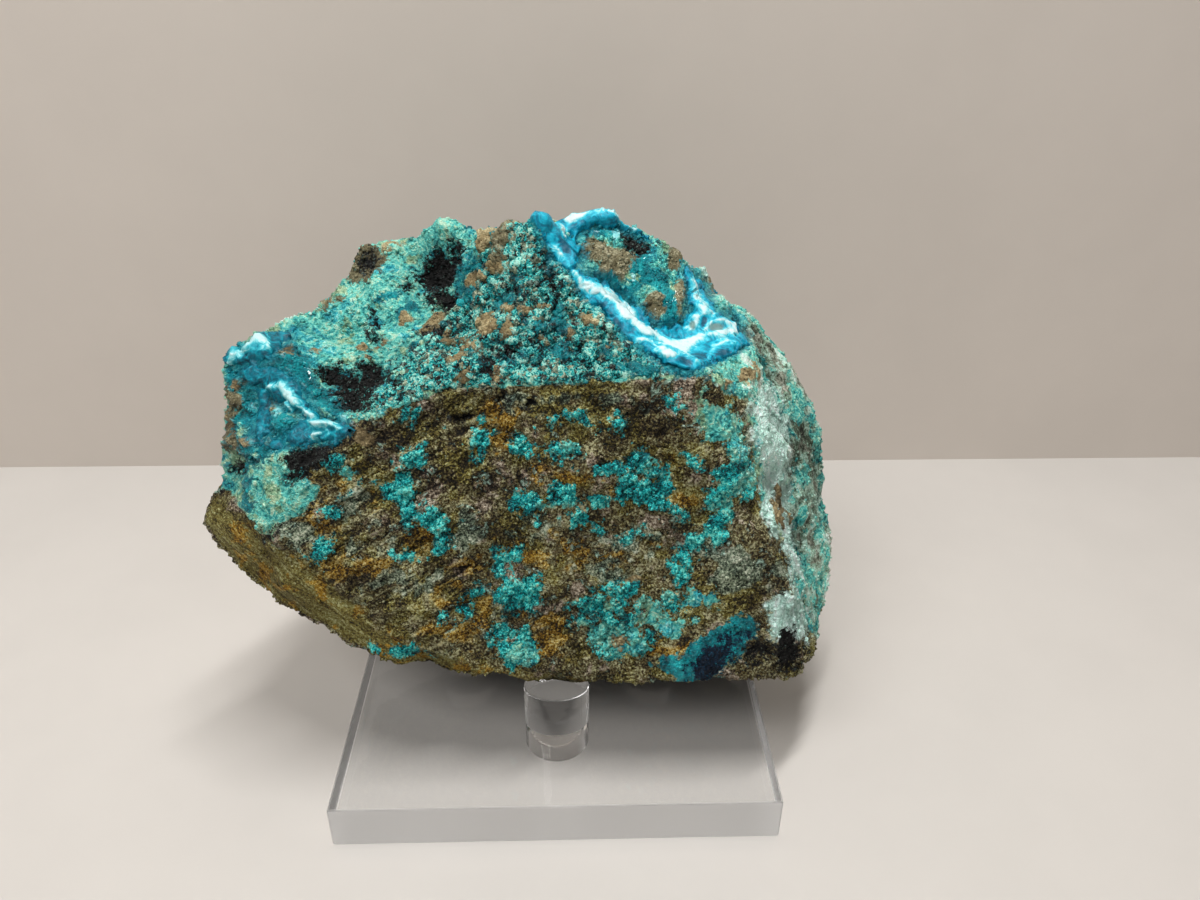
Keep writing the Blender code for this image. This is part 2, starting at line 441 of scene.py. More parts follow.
# across, down, half length, half width, and the turn in degrees where there is one
PATCHES = {
    "crust": (
        (411, 459, 13, 7, -20), (383, 483, 11, 6, 20), (401, 491, 19, 14, 25), (414, 505, 12, 10, 50),
        (427, 517, 10, 9, 60), (438, 524, 9, 10), (442, 541, 7, 12, -10), (410, 524, 5, 6), (411, 554, 7, 4),
        (481, 441, 7, 14, 10), (417, 419, 12, 8), (337, 464, 13, 6, 40), (320, 551, 13, 10, -50),
        (331, 506, 8, 4, -10), (505, 556, 13, 5), (525, 590, 17, 17), (510, 591, 13, 18),
        (475, 596, 11, 6, -40), (446, 615, 8, 7), (505, 633, 12, 8), (522, 645, 16, 14), (512, 655, 10, 10),
        (398, 650, 14, 5, 15), (530, 454, 6, 8, -30), (556, 449, 12, 6, 20), (575, 456, 10, 6),
        (531, 505, 17, 12, 5), (562, 498, 14, 10, -10), (576, 513, 10, 9, 40), (600, 499, 4, 4),
        (602, 528, 4, 3), (635, 534, 8, 4), (628, 484, 14, 14), (648, 494, 24, 16, 25),
        (664, 507, 13, 9, 30), (645, 462, 13, 8, 40), (612, 474, 8, 5), (696, 461, 6, 4), (717, 527, 11, 11),
        (726, 515, 8, 10), (684, 522, 9, 8), (693, 545, 8, 10), (684, 569, 10, 13), (676, 560, 6, 8),
        (735, 470, 18, 20), (741, 489, 12, 16), (717, 492, 12, 10, -20), (722, 505, 12, 7),
        (619, 597, 12, 10), (591, 606, 12, 10, 30), (584, 620, 8, 10), (600, 625, 16, 9), (618, 612, 14, 8),
        (630, 640, 16, 9), (612, 650, 10, 7, -20), (650, 606, 10, 8), (667, 603, 10, 9), (582, 418, 6, 3),
        (616, 424, 6, 6), (671, 398, 7, 5), (681, 410, 6, 4), (550, 424, 3, 2),
    ),
    "mint": (
        (742, 478, 9, 16), (726, 507, 9, 5), (604, 612, 10, 6, 20), (588, 626, 8, 5), (622, 634, 9, 5, -30),
        (526, 649, 10, 8), (398, 468, 6, 4, 20), (556, 504, 9, 4), (720, 425, 21, 20), (706, 402, 12, 8),
        (735, 447, 10, 14), (345, 470, 8, 4, 40), (655, 251, 10, 8, -20), (688, 600, 8, 8), (712, 600, 8, 8),
        (567, 450, 12, 5, 15), (645, 458, 12, 6, 40), (669, 626, 18, 8, -20), (652, 611, 14, 7, -30),
        (630, 648, 16, 9), (600, 640, 14, 8),
    ),
    "teal": (
        (472, 268, 14, 9), (463, 285, 6, 20), (470, 296, 10, 8, -40), (457, 228, 11, 5),
        (413, 309, 13, 6, -20), (345, 318, 12, 4, -10), (388, 295, 10, 6, -10), (342, 405, 10, 7),
        (425, 341, 22, 4, -40), (601, 220, 20, 6), (657, 282, 17, 13), (671, 315, 11, 18, 5),
        (616, 292, 22, 10, 50), (642, 268, 16, 12), (662, 300, 10, 18), (600, 226, 26, 8, -5),
        (606, 281, 13, 8, 50), (629, 293, 10, 9, 60), (541, 217, 8, 8), (552, 228, 5, 12, -25),
        (232, 358, 8, 12), (272, 341, 14, 8, 25), (246, 357, 12, 6, -15), (285, 383, 14, 26, -35),
        (250, 378, 20, 6, 10), (262, 392, 26, 8, 20), (256, 412, 9, 22), (312, 440, 12, 6, -10),
        (292, 428, 14, 8, 20), (255, 428, 8, 9), (246, 487, 5, 17, -10), (254, 508, 5, 9, -10),
        (236, 420, 5, 14), (492, 234, 12, 4, -10), (500, 305, 10, 8, -20), (516, 290, 8, 10),
        (538, 330, 12, 8, 20), (560, 320, 8, 12, -20), (480, 362, 12, 5), (520, 360, 14, 5),
        (610, 352, 14, 5, 20), (548, 262, 5, 10, -30), (560, 352, 12, 5), (741, 630, 25, 12, -8),
        (712, 650, 34, 20, -25), (682, 666, 28, 13), (640, 366, 16, 4, 15), (700, 366, 14, 6, 20),
    ),
    # black: manganese black, and painted shade in cavities, in cracks and along edges that turn away
    "black": (
        (436, 271, 20, 18, -30), (453, 263, 6, 18), (451, 299, 10, 8, -30), (432, 299, 8, 6),
        (404, 284, 5, 6), (372, 323, 4, 7), (375, 337, 6, 5), (410, 357, 8, 5, -20), (392, 369, 5, 8, 30),
        (337, 375, 18, 12, 10), (354, 380, 16, 11), (369, 379, 14, 14), (358, 396, 20, 13, -20),
        (376, 402, 11, 6, -40), (392, 386, 8, 6, -40), (304, 461, 14, 16), (318, 448, 12, 9, -20),
        (332, 441, 9, 5, -20), (297, 474, 7, 5), (287, 521, 13, 2.5, -28), (273, 531, 6, 2, -40),
        (788, 651, 14, 15), (766, 646, 12, 9, -10), (752, 656, 8, 6), (635, 243, 18, 13, 20),
        (656, 234, 14, 5, 25), (550, 296, 2.5, 11, 5), (572, 345, 5, 3), (555, 378, 5, 4), (494, 357, 7, 5),
        (490, 372, 6, 5), (237, 470, 4, 4), (368, 262, 10, 8, -20), (513, 290, 5, 4), (524, 300, 4, 3),
        (584, 364, 5, 4), (510, 350, 4, 3), (431, 336, 9, 5, -20), (505, 400, 4, 3), (533, 402, 4, 3),
        (457, 418, 4, 3), (423, 428, 4, 3),
    ),
    "tan": (
        (396, 248, 15, 4, -18), (316, 356, 6, 5), (362, 348, 7, 5, -20), (368, 360, 5, 3), (406, 322, 5, 4),
        (434, 320, 15, 6, -42), (476, 281, 9, 8, -30), (485, 245, 5, 7), (487, 326, 9, 10),
        (466, 343, 7, 6, 30), (479, 352, 5, 3), (466, 375, 8, 7), (500, 378, 6, 5), (451, 337, 5, 5),
        (498, 269, 5, 8, -30), (526, 314, 6, 5), (589, 322, 5, 8, -10), (571, 334, 4, 5),
        (578, 508, 7, 4, 15), (629, 583, 9, 3), (624, 643, 7, 5), (365, 438, 12, 9, 15), (273, 404, 5, 12),
        (235, 381, 5, 5), (245, 442, 6, 3), (228, 410, 3, 12), (749, 376, 5, 9, 10), (732, 384, 5, 4),
        (780, 515, 8, 14), (781, 495, 3, 12), (722, 288, 14, 4, 30), (509, 330, 5, 7), (300, 396, 4, 3),
        (256, 437, 4, 5), (268, 446, 5, 3), (382, 345, 9, 3, -40), (538, 305, 5, 4), (542, 344, 6, 4),
        (613, 345, 5, 4), (508, 312, 4, 4), (455, 360, 5, 4),
    ),
    "granite": (
        (365, 262, 16, 17), (351, 276, 9, 9), (333, 303, 16, 4, -15), (289, 355, 13, 3, 10),
        (272, 366, 10, 3, -15), (285, 345, 8, 3, 20), (504, 243, 14, 9, -45), (591, 251, 12, 15, 10),
        (608, 262, 12, 10, 20), (620, 265, 10, 12, 20), (650, 311, 14, 15), (645, 325, 8, 10, -30),
        (682, 297, 6, 17, 5), (675, 260, 7, 9), (500, 262, 8, 6, -30), (235, 445, 8, 10), (226, 425, 5, 20),
        (380, 262, 12, 5, -30), (232, 398, 8, 12), (226, 400, 5, 18), (246, 378, 6, 5),
    ),
    "navy": ((710, 662, 26, 15, -20), (728, 644, 14, 9, -40), (746, 634, 8, 6)),
    # pale cyan: partly a pale mineral, and on the knob painted highlights along the edges of its flakes
    "pale": (
        (256, 344, 18, 5, -32), (276, 390, 13, 4, 45), (293, 402, 10, 4, 30), (325, 428, 17, 6, -18),
        (228, 366, 3, 6), (669, 626, 9, 3, -20), (652, 611, 6, 2.5, -30), (608, 233, 4, 4), (629, 281, 6, 6),
        (280, 408, 4, 8, 10),
    ),
    "ochre": (
        (329, 483, 12, 7), (335, 500, 6, 4), (371, 500, 8, 5), (343, 558, 12, 16, 30), (419, 533, 17, 17),
        (506, 421, 20, 14), (505, 436, 16, 18), (577, 549, 26, 7, 5), (545, 560, 20, 8), (490, 602, 20, 12),
        (463, 605, 14, 9), (447, 632, 18, 8, -10), (671, 643, 14, 5, -10), (550, 646, 14, 12),
        (540, 620, 20, 10), (684, 466, 10, 6), (360, 570, 24, 10, 20), (600, 560, 30, 8), (570, 480, 26, 8),
        (400, 560, 20, 7, -20), (312, 520, 20, 8, 20), (470, 570, 20, 8, -30), (560, 620, 14, 8),
        (680, 500, 8, 5),
    ),
    # painted shade: dark patches where hollows and recesses of the rock and the flank lie in shadow
    "shade": (
        (455, 478, 27, 14, 5), (491, 495, 12, 9), (600, 404, 60, 11), (635, 428, 26, 10),
        (616, 450, 24, 8, -20), (345, 443, 22, 9, -15), (368, 462, 18, 11), (243, 532, 26, 8, 28),
        (270, 549, 16, 6, 30), (510, 591, 12, 16), (445, 455, 18, 8), (540, 470, 22, 8, -20),
        (601, 640, 14, 8), (672, 640, 16, 5, -10), (690, 398, 20, 8), (396, 440, 16, 8, -20),
        (485, 520, 22, 7, -20), (750, 600, 16, 8), (700, 580, 12, 8), (520, 300, 20, 14), (805, 454, 8, 16),
        (805, 515, 8, 16), (813, 561, 7, 14), (818, 609, 6, 12), (768, 391, 6, 13), (807, 430, 8, 14, -20),
        (790, 395, 8, 7), (762, 325, 8, 12, -40), (745, 300, 16, 5, 40),
    ),
    # grey streaks on the rock, partly a painted sheen
    "ash": (
        (350, 506, 16, 8, -20), (363, 545, 15, 6, -20), (463, 531, 25, 12, -32), (385, 585, 19, 8, -20),
        (424, 584, 12, 5, -25), (734, 566, 25, 22), (790, 612, 18, 16), (635, 537, 22, 10),
        (745, 440, 6, 32), (540, 530, 26, 8), (610, 570, 20, 8), (300, 535, 14, 7, 20), (780, 575, 14, 18),
        (700, 550, 20, 12), (560, 400, 40, 5), (500, 612, 10, 5), (430, 660, 26, 5, 15),
    ),
}
# how far noise shifts the patches, in the view and, on the far side, in millimetres
NEAR_SWAY = 6
FAR_SWAY = 4
# how squarely the surface faces the viewpoint, as a cosine, where its own patches fade in
FRONT_EDGE = (-0.45, -0.2)
# the depth inside its patches, in millimetres, of a mineral that covers the far side, and of its layers
EVERYWHERE = 20.0
FAR_LAYERS = 5.0
# the far side is bare rock below this height, which falls to the right
FAR_ROCK_TOP = 45
FAR_ROCK_FALL = 0.25
# how far the random patches are drawn toward the far side
FAR_LEAN = 0.7
FAR_OUTSIDE = -50.0
# random patches of the far side: count, smallest and largest radius in millimetres, seed
FAR_PATCHES = {
    "rock": (9, 12, 26, 31),
    "crust": (20, 2.5, 7, 32),
    "teal": (14, 2, 6, 33),
    "black": (9, 2, 7, 34),
    "tan": (14, 2, 5, 35),
    "granite": (10, 3, 8, 36),
    "ochre": (12, 4, 10, 37),
    # random painted shade on the far side
    "shade": (12, 3, 9, 38),
}

# across, down, half width along the vein and its branches, then along their white bands
VEIN_PATHS = (
    (
        (541, 214, 5), (546, 221, 9), (555, 230, 14), (562, 243, 15), (568, 256, 12), (574, 267, 7),
        (580, 278, 7), (592, 289, 11), (602, 296, 12), (611, 302, 13), (620, 310, 13), (628, 319, 13),
        (635, 328, 13), (643, 334, 13), (651, 339, 14), (661, 345, 15), (672, 350, 18), (685, 353, 19),
        (698, 349, 18), (709, 344, 17), (719, 340, 17), (729, 338, 14), (738, 339, 8),
    ),
    (
        (560, 228, 12), (574, 219, 14), (590, 214, 13), (604, 213, 12), (618, 217, 10), (634, 224, 7),
        (648, 234, 3),
    ),
    ((700, 342, 12), (698, 328, 14), (701, 312, 12), (700, 298, 10), (696, 285, 7), (691, 272, 3)),
    ((655, 336, 7), (668, 336, 9), (680, 335, 9), (690, 338, 10)),
    ((712, 326, 11), (722, 325, 12), (733, 328, 8)),
)
WHITE_PATHS = (
    (
        (582, 285, 2.5), (592, 289, 4.5), (602, 293, 5), (611, 298, 5.5), (620, 306, 5.5), (628, 315, 5.5),
        (635, 324, 4), (642, 330, 5), (650, 333, 5), (658, 338, 3.5), (665, 343, 3.5), (673, 345, 6),
        (682, 347, 7), (691, 343, 5), (700, 338, 3), (710, 336, 4), (720, 335, 4.5), (729, 331, 4),
        (734, 334, 2),
    ),
    ((557, 223, 2), (562, 229, 2.5), (563, 236, 1.2)),
    ((566, 222, 1.2), (575, 219, 2.6), (582, 217, 2), (590, 214, 0.6)),
    ((552, 244, 0.6), (557, 250, 1.6), (561, 256, 0.6)),
    ((568, 264, 0.6), (574, 271, 0.8), (581, 280, 0.8)),
    ((597, 213, 0.6), (606, 213, 1.5), (620, 221, 1.5), (634, 228, 0.8)),
    ((637, 341, 1.5), (645, 340, 2.5), (653, 342, 1.5), (656, 348, 1.5), (664, 353, 3), (672, 356, 2)),
    ((688, 358, 2), (694, 362, 3)),
    ((691, 281, 1.2), (693, 286, 1.8), (695, 296, 1.5), (699, 304, 3.5), (706, 311, 3), (714, 315, 2)),
    ((686, 328, 2), (690, 330, 2.5), (695, 326, 2.5), (696, 319, 2), (692, 316, 1)),
    ((705, 331, 2), (712, 322, 2), (724, 320, 2.5), (732, 326, 3), (735, 334, 2)),
    ((710, 353, 1), (722, 346, 1.5), (734, 342, 1)),
    ((606, 230, 1.5), (608, 233, 1.5)),
)
# the glassy drapes on the left knob, and their pale crests, which are partly painted highlights
DRAPE_PATHS = (
    (
        (228, 358, 5), (238, 360, 8), (250, 356, 9), (262, 350, 9), (270, 342, 8), (280, 338, 5),
        (290, 335, 2),
    ),
    (
        (238, 368, 5), (252, 372, 9), (266, 378, 10), (280, 386, 12), (291, 398, 11), (302, 406, 8),
        (312, 414, 4),
    ),
    ((262, 392, 5), (262, 408, 6), (262, 420, 6), (257, 430, 8), (258, 440, 3)),
    (
        (272, 446, 2), (284, 440, 5), (296, 434, 8), (308, 430, 9), (320, 430, 9), (332, 428, 8),
        (342, 428, 4),
    ),
)
CREST_PATHS = (
    ((229, 364, 1), (241, 351, 2.5), (250, 347, 3.5), (258, 341, 4.5), (265, 343, 3.5), (270, 350, 1)),
    (
        (266, 388, 1), (274, 386, 2), (283, 386, 3), (289, 394, 4), (295, 402, 3.5), (302, 409, 1),
        (314, 416, 0.8),
    ),
    ((288, 404, 1), (290, 410, 1)),
    ((313, 424, 1.5), (322, 425, 3), (332, 423, 3), (339, 429, 1.5)),
    ((314, 437, 1), (322, 434, 2.2), (328, 431, 1)),
)
GREY_SPOTS = ((692, 326, 3.5, 5), (716, 328, 8, 4.5), (628, 301, 3, 2, 40), (560, 231, 1.5, 1.5))
BLUE_POCKETS = (
    (721, 353, 10, 4, 8), (665, 349, 3, 2, 30), (655, 357, 10, 3, 35), (685, 362, 12, 3, 10),
    (700, 356, 8, 3), (564, 246, 4, 10, -30), (602, 306, 10, 2, 45), (617, 322, 9, 2, 50),
    (690, 288, 3, 8, -20), (676, 340, 6, 2), (704, 322, 2.5, 9, 10),
)
# across, down, half width along each raised edge
RIDGES = (
    (
        (456, 228, 5), (466, 262, 6), (472, 292, 7), (452, 318, 7), (428, 342, 7), (402, 370, 7),
        (374, 402, 6),
    ),
    ((541, 232, 5), (556, 266, 5), (584, 298, 6), (606, 326, 6), (640, 352, 6), (690, 368, 5)),
    ((262, 541, 4), (310, 583, 4), (360, 621, 4), (410, 645, 4), (470, 662, 4), (530, 676, 4)),
    ((248, 352, 5), (266, 380, 5), (290, 412, 5), (318, 436, 5), (346, 428, 5)),
)
# across, down, half length, half width, and the turn in degrees where there is one
PEAKS = (
    (541, 221, 15, 11, 60), (262, 337, 12, 7, -20), (236, 350, 9, 6, -30), (446, 226, 14, 8),
    (484, 240, 9, 6), (511, 232, 9, 6), (608, 219, 26, 9), (640, 226, 9, 5, 30), (390, 248, 12, 6),
    (357, 250, 8, 6, -30), (324, 426, 12, 6, -15), (278, 392, 12, 6, 45), (293, 332, 8, 5),
    (672, 248, 8, 5, 40), (741, 306, 8, 6, 40),
)


def segment_distance(across, down, start, end):
    """The distance from each place to a straight segment, and how far along it the nearest place lies."""
    (x, y), (run, rise) = start, np.subtract(end, start)
    share = np.clip(((across - x) * run + (down - y) * rise) / (run * run + rise * rise), 0, 1)
    return np.hypot(across - x - share * run, down - y - share * rise), share


def outline_field(across, down, outline):
    """Distance to an outline, in millimetres at the stone: positive inside it, negative outside.

    A place is inside if a level line from it crosses the outline an odd number of times.
    """
    nearest = np.full(len(across), np.inf)
    inside = np.zeros(len(across), dtype=bool)
    for start, end in zip(outline, (*outline[1:], outline[0])):
        nearest = np.minimum(nearest, segment_distance(across, down, start, end)[0])
        run, rise = np.subtract(end, start)
        crosses = (start[1] > down) != (end[1] > down)
        inside ^= crosses & (across < start[0] + (down - start[1]) * run / (rise or 1))
    return np.where(inside, nearest, -nearest) / SEEN_PER_MM


def patch_field(across, down, patches):
    """Closeness to the nearest patch, in millimetres: half its width at its middle, 0 at its edge."""
    best = np.full(len(across), FAR_OUTSIDE)
    for patch in patches:
        x, y, half_length, half_width, turn = (*patch, 0)[:5]
        cosine, sine = math.cos(math.radians(turn)), math.sin(math.radians(turn))
        along = (across - x) * cosine + (down - y) * sine
        aside = (down - y) * cosine - (across - x) * sine
        away = np.hypot(along / half_length, aside / half_width)
        best = np.maximum(best, (1 - away) * min(half_length, half_width) / SEEN_PER_MM)
    return best


def path_field(across, down, paths):
    """How far inside a path each place lies, in millimetres. A path is a chain of places with half widths,
    which change evenly between them."""
    best = np.full(len(across), FAR_OUTSIDE)
    for path in paths:
        for (*start, first_width), (*end, last_width) in zip(path[:-1], path[1:]):
            away, share = segment_distance(across, down, start, end)
            width = first_width + share * (last_width - first_width)
            best = np.maximum(best, (width - away) / SEEN_PER_MM)
    return best


def scattered_field(points, count, smallest, largest, seed):
    """Closeness to the nearest of some round patches at random places of the stone's far side."""
    rng = np.random.default_rng(seed)
    directions = unit(unit(rng.normal(size=(count, 3))) + FAR_LEAN * unit(HEART - EYE))
    centres = stone_form(directions)
    radii = rng.uniform(smallest, largest, count)
    best = np.full(len(points), FAR_OUTSIDE)
    for centre, radius in zip(centres, radii):
        best = np.maximum(best, radius - np.linalg.norm(points - centre, axis=1))
    return best


def facing(points, normals):
    """How squarely the surface faces the viewpoint: the cosine of the angle between them."""
    return (normals * unit(EYE - points)).sum(axis=1)


def mineral_fields(points, normals):
    """For each mineral, how far inside its patches each point lies, in millimetres.

    Noise shifts the patches' places, so their outlines wander. Where the stone faces away from the
    viewpoint, the patches give way to random ones.
    """
    across, down = seen(points)
    swayed_across = across + NEAR_SWAY * fractal(points, 3.6, 64, 3, 0.6)
    swayed_down = down + NEAR_SWAY * fractal(points, 3.6, 164, 3, 0.6)
    sway = np.stack([fractal(points, 9.0, seed, 4, 0.65) for seed in (264, 364, 464)], axis=1)
    swayed = points + FAR_SWAY * sway
    near = {name: patch_field(swayed_across, swayed_down, patches) for name, patches in PATCHES.items()}
    near |= {name: outline_field(across, down, outline) for name, outline in OUTLINES.items()}
    near["layers"] = (LAYERS_END - across) / SEEN_PER_MM
    near["ridge"] = path_field(across, down, RIDGES)
    near["peak"] = patch_field(across, down, PEAKS)
    near["vein"] = path_field(across, down, VEIN_PATHS + DRAPE_PATHS)
    far = {name: scattered_field(swayed, *numbers) for name, numbers in FAR_PATCHES.items()}
    far["rock"] = np.maximum(far["rock"], FAR_ROCK_TOP - points[:, 2] - FAR_ROCK_FALL * points[:, 0])
    far["flank"] = np.full(len(points), EVERYWHERE)
    far["layers"] = np.full(len(points), FAR_LAYERS)
    front = ease(*FRONT_EDGE, facing(points, normals))
    nowhere = np.full(len(points), -EVERYWHERE)
    return {name: near[name] * front + far.get(name, nowhere) * (1 - front) for name in near}


# --- The stone's fine relief ---
RAGGED_CELL = 2.6
# how far, in millimetres, each mineral's edge wanders
WANDER = {
    "rock": 0.6, "pebbly": 0.8, "flank": 1.4, "strip": 1.4, "keel": 0.8, "knob": 0.8, "crust": 1.4,
    "mint": 1.3, "teal": 1.0, "black": 1.0, "tan": 0.4, "granite": 0.6, "navy": 1.2, "pale": 0.8,
    "ochre": 2.2, "shade": 2.2, "ash": 2.2, "layers": 3.0, "vein": 0.0, "block": 0.4, "ridge": 0.3,
    "peak": 0.2,
}
# the rock's beds climb to the right, and those under the keel edge fall to the right
BEDDING_TURN = math.radians(30)
KEEL_TURN = math.radians(-38)
FLAKE_FALL = np.array([-0.45, -0.45, -0.77])
FLAKE_PITCH = 3.6
PEAK_HEIGHT = 1.7
CHIP_SIZE = 2.7
GRAIN_SIZE = 1.1
BED_SQUEEZE = (0.25, 0.6, 1.0)
FOLD_SQUEEZE = (0.14, 0.5, 1.0)
# over which depths, in millimetres inside its edge, each mineral's own relief sets in
RELIEF_EDGES = {
    "rock": (-0.5, 0.5), "pebbly": (-0.6, 0.6), "flank": (-1.0, 1.0), "knob": (-0.8, 1.2),
    "crust": (-0.4, 0.5), "teal": (-0.3, 0.4), "black": (-0.4, 0.5), "solid": (-0.3, 0.4),
    "layers": (-1.0, 3.0), "vein": (-1.6, -0.2), "keel": (-0.6, 0.6), "block": (-0.6, 1.4),
    "ridge": (-0.2, 1.2),
}


def ragged_fields(points, fields):
    """The mineral fields with edges that wander."""
    ragged = fractal(points, RAGGED_CELL, 70, 3, 0.7)
    other = fractal(points, RAGGED_CELL, 170, 3, 0.7)
    uneven = ("black", "teal", "ochre", "tan", "mint")
    noises = {name: other if name in uneven else ragged for name in fields}
    return {name: field + WANDER[name] * noises[name] for name, field in fields.items()}


def bedded(points, turn, squeeze):
    """Places turned about Y and squeezed along each of the turned axes, which draws noise out into beds."""
    return (points @ np.array(Matrix.Rotation(turn, 3, "Y")).T) * np.array(squeeze)


def flakes(points):
    """Overlapping flakes: how far along its flake each point lies, from 0 at its root to 1 at its lip."""
    bend = 0.7 * smooth_noise(points, 8.0, 95) + 0.35 * smooth_noise(points, 3.6, 96)
    along = points @ unit(FLAKE_FALL) / FLAKE_PITCH + bend
    return along - np.floor(along)


def peak_height(field):
    """A raised point: a cone on a low smooth mound."""
    return PEAK_HEIGHT * (0.15 * ease(0.0, 1.3, field) + 0.42 * np.maximum(field, 0))


def stone_relief(points, fields):
    """Height of the surface over the plain form, and the share of each point that is flake lip.

    Rock is low grains drawn out along the bedding, pebbly rock is chips and grains, mint coat is soft with
    thin raised rims, crusts are knobbly, black patches are sunken, and the vein lies in a smooth groove.
    """
    fields = fields | {"solid": np.maximum(fields["tan"], fields["granite"])}
    shares = [ease(*edges, fields[name]) for name, edges in RELIEF_EDGES.items()]
    rock, pebbly, flank, knob, crust, teal, black, solid, layers, vein, keel, block, ridge = shares

    chips, number = nearest_grain(points, CHIP_SIZE, 84, flat=True)
    grains, _ = nearest_grain(points, GRAIN_SIZE, 88)
    layered = bedded(points, BEDDING_TURN, BED_SQUEEZE)
    beds = smooth_noise(layered, 1.5, 72) + 0.7 * smooth_noise(layered, 0.8, 79)
    swell = smooth_noise(points, 8.0, 73) + 0.5 * smooth_noise(points, 4.0, 173)
    rough = fractal(points, 2.2, 75, 3, 0.65)
    rims = ease(0.16, 0.0, np.abs(fractal(points, 5.0, 74, 3)))
    folds = smooth_noise(bedded(points, KEEL_TURN, FOLD_SQUEEZE), 1.6, 76)
    lip = flakes(points)

    rock_height = 0.3 * (0.5 - chips) + 0.4 * (0.5 - grains) + 0.25 * rough
    rock_height += 0.5 * layers * beds + 0.6 * swell
    rock_height += (0.45 * folds + 0.4 * swell - 0.3 - rock_height) * keel
    mint_height = 0.5 * swell + 0.3 * rough + 0.3 * (0.5 - grains) + 0.35 * rims
    pebbly_height = 0.9 * (0.5 - chips) + 0.4 * number * ease(0.6, 0.3, chips) + 0.5 * (0.5 - grains)
    pebbly_height += 0.7 * swell + 0.3 * rough
    flank_height = 1.5 * smooth_noise(points, 8.5, 77) + 0.7 * (0.5 - chips) + 0.5 * swell + 0.4 * rough
    knob_height = 0.9 * lip**2 - 0.2 + 0.4 * rough + 0.4 * swell

    height = mint_height * (1 - rock) + rock_height * rock
    height += (pebbly_height - height) * pebbly * (1 - rock)
    height += (flank_height - height) * flank * (1 - 0.7 * rock)
    height += (knob_height - height) * knob * (1 - rock)
    height += crust * (0.3 + 0.8 * (0.5 - grains) + 0.35 * rough) * (1 - 0.6 * flank)
    height += 0.4 * solid * (1 - rock) - black * (0.7 + 0.5 * grains)
    height += teal * (1 - pebbly) * (1 - knob) * 0.2
    height += 0.8 * block
    height = height * (1 - vein) - 0.7 * vein
    height += 0.8 * ridge * (1 - vein) + peak_height(fields["peak"])
    return height, lip * knob


def stone_points(directions, relief):
    """Points of the finished stone along these directions from its heart, and their fields. The relief is
    this share of its full height."""
    points = stone_form(directions)
    normals = form_normals(directions, points)
    fields = ragged_fields(points, mineral_fields(points, normals))
    height, lip = stone_relief(points, fields)
    # the relief's height, which the colours also use for painted light on high places and painted shade in
    # low ones
    fields["rise"] = height
    fields["lip"] = lip
    fields["hue"] = 0.5 + 0.3 * fractal(points, 4.2, 270, 4, 0.65)
    return points + normals * (relief * height)[:, None], fields


GRID_LEAN = 0.42


def grid_faces(index):
    """The four-cornered faces of a grid, or of a stack of grids, of point numbers."""
    corners = [index[..., :-1, :-1], index[..., 1:, :-1], index[..., 1:, 1:], index[..., :-1, 1:]]
    return np.stack(corners, axis=-1)


def sphere_grid(count, lean):
    """Directions and faces of a closed grid: a cube's sides, count squares wide, blown out to a ball.

    Lean times the viewpoint's direction is added to each, so the squares are smaller toward the viewpoint.
    """
    step = np.arange(count + 1)
    first, second = np.meshgrid(step, step, indexing="ij")
    sides = []
    for axis in range(3):
        for level in (0, count):
            side = np.empty((count + 1, count + 1, 3), dtype=np.int64)
            side[..., axis] = level
            side[..., (axis + 1) % 3] = first
            side[..., (axis + 2) % 3] = second
            sides.append(side)
    places, index = np.unique(np.array(sides).reshape(-1, 3), axis=0, return_inverse=True)
    faces = grid_faces(index.reshape(6, count + 1, count + 1))
    faces[0::2] = faces[0::2, :, :, ::-1]
    directions = unit(np.tan((places / count * 2 - 1) * math.pi / 4))
    return unit(directions + lean * unit(EYE - HEART)), faces.reshape(-1, 4)


def make_mesh(name, points, faces, fields, smooth=True):
    """A mesh in metres that carries its fields as attributes. All its faces have four corners."""
    mesh = bpy.data.meshes.new(name)
    mesh.vertices.add(len(points))
    mesh.vertices.foreach_set("co", (points * MM).ravel())
    mesh.loops.add(faces.size)
    mesh.loops.foreach_set("vertex_index", faces.ravel())
    mesh.polygons.add(len(faces))
    mesh.polygons.foreach_set("loop_start", np.arange(0, faces.size, 4))
    mesh.update(calc_edges=True)
    mesh.validate()
    if smooth:
        mesh.shade_smooth()
    for field, values in fields.items():
        attribute = mesh.attributes.new(field, "FLOAT", "POINT")
        attribute.data.foreach_set("value", values.astype(np.float32))
    return mesh


def read_mesh(mesh):
    """The points in millimetres, the four-cornered faces and the fields of a mesh."""
    points = np.empty(3 * len(mesh.vertices), dtype=np.float32)
    mesh.vertices.foreach_get("co", points)
    faces = np.empty(len(mesh.loops), dtype=np.int32)
    mesh.loops.foreach_get("vertex_index", faces)
    fields = {}
    for attribute in mesh.attributes:
        if attribute.data_type == "FLOAT" and attribute.domain == "POINT":
            values = np.empty(len(mesh.vertices), dtype=np.float32)
            attribute.data.foreach_get("value", values)
            fields[attribute.name] = values
    return points.reshape(-1, 3).astype(float) / MM, faces.reshape(-1, 4), fields


def add_piece(name, mesh, material):
    """Puts a finished piece into the scene, at the origin."""
    piece = bpy.data.objects.new(name, mesh)
    piece.data.materials.append(material)
    bpy.context.scene.collection.objects.link(piece)
    return piece


# --- Grains: small crystals sown over the stone ---
CUBE_CORNERS = np.array([(x, y, z) for x in (-1, 1) for y in (-1, 1) for z in (-1, 1)], dtype=float)
CUBE_FACES = np.array([(0, 1, 3, 2), (4, 6, 7, 5), (0, 4, 5, 1), (2, 3, 7, 6), (0, 2, 6, 4), (1, 5, 7, 3)])


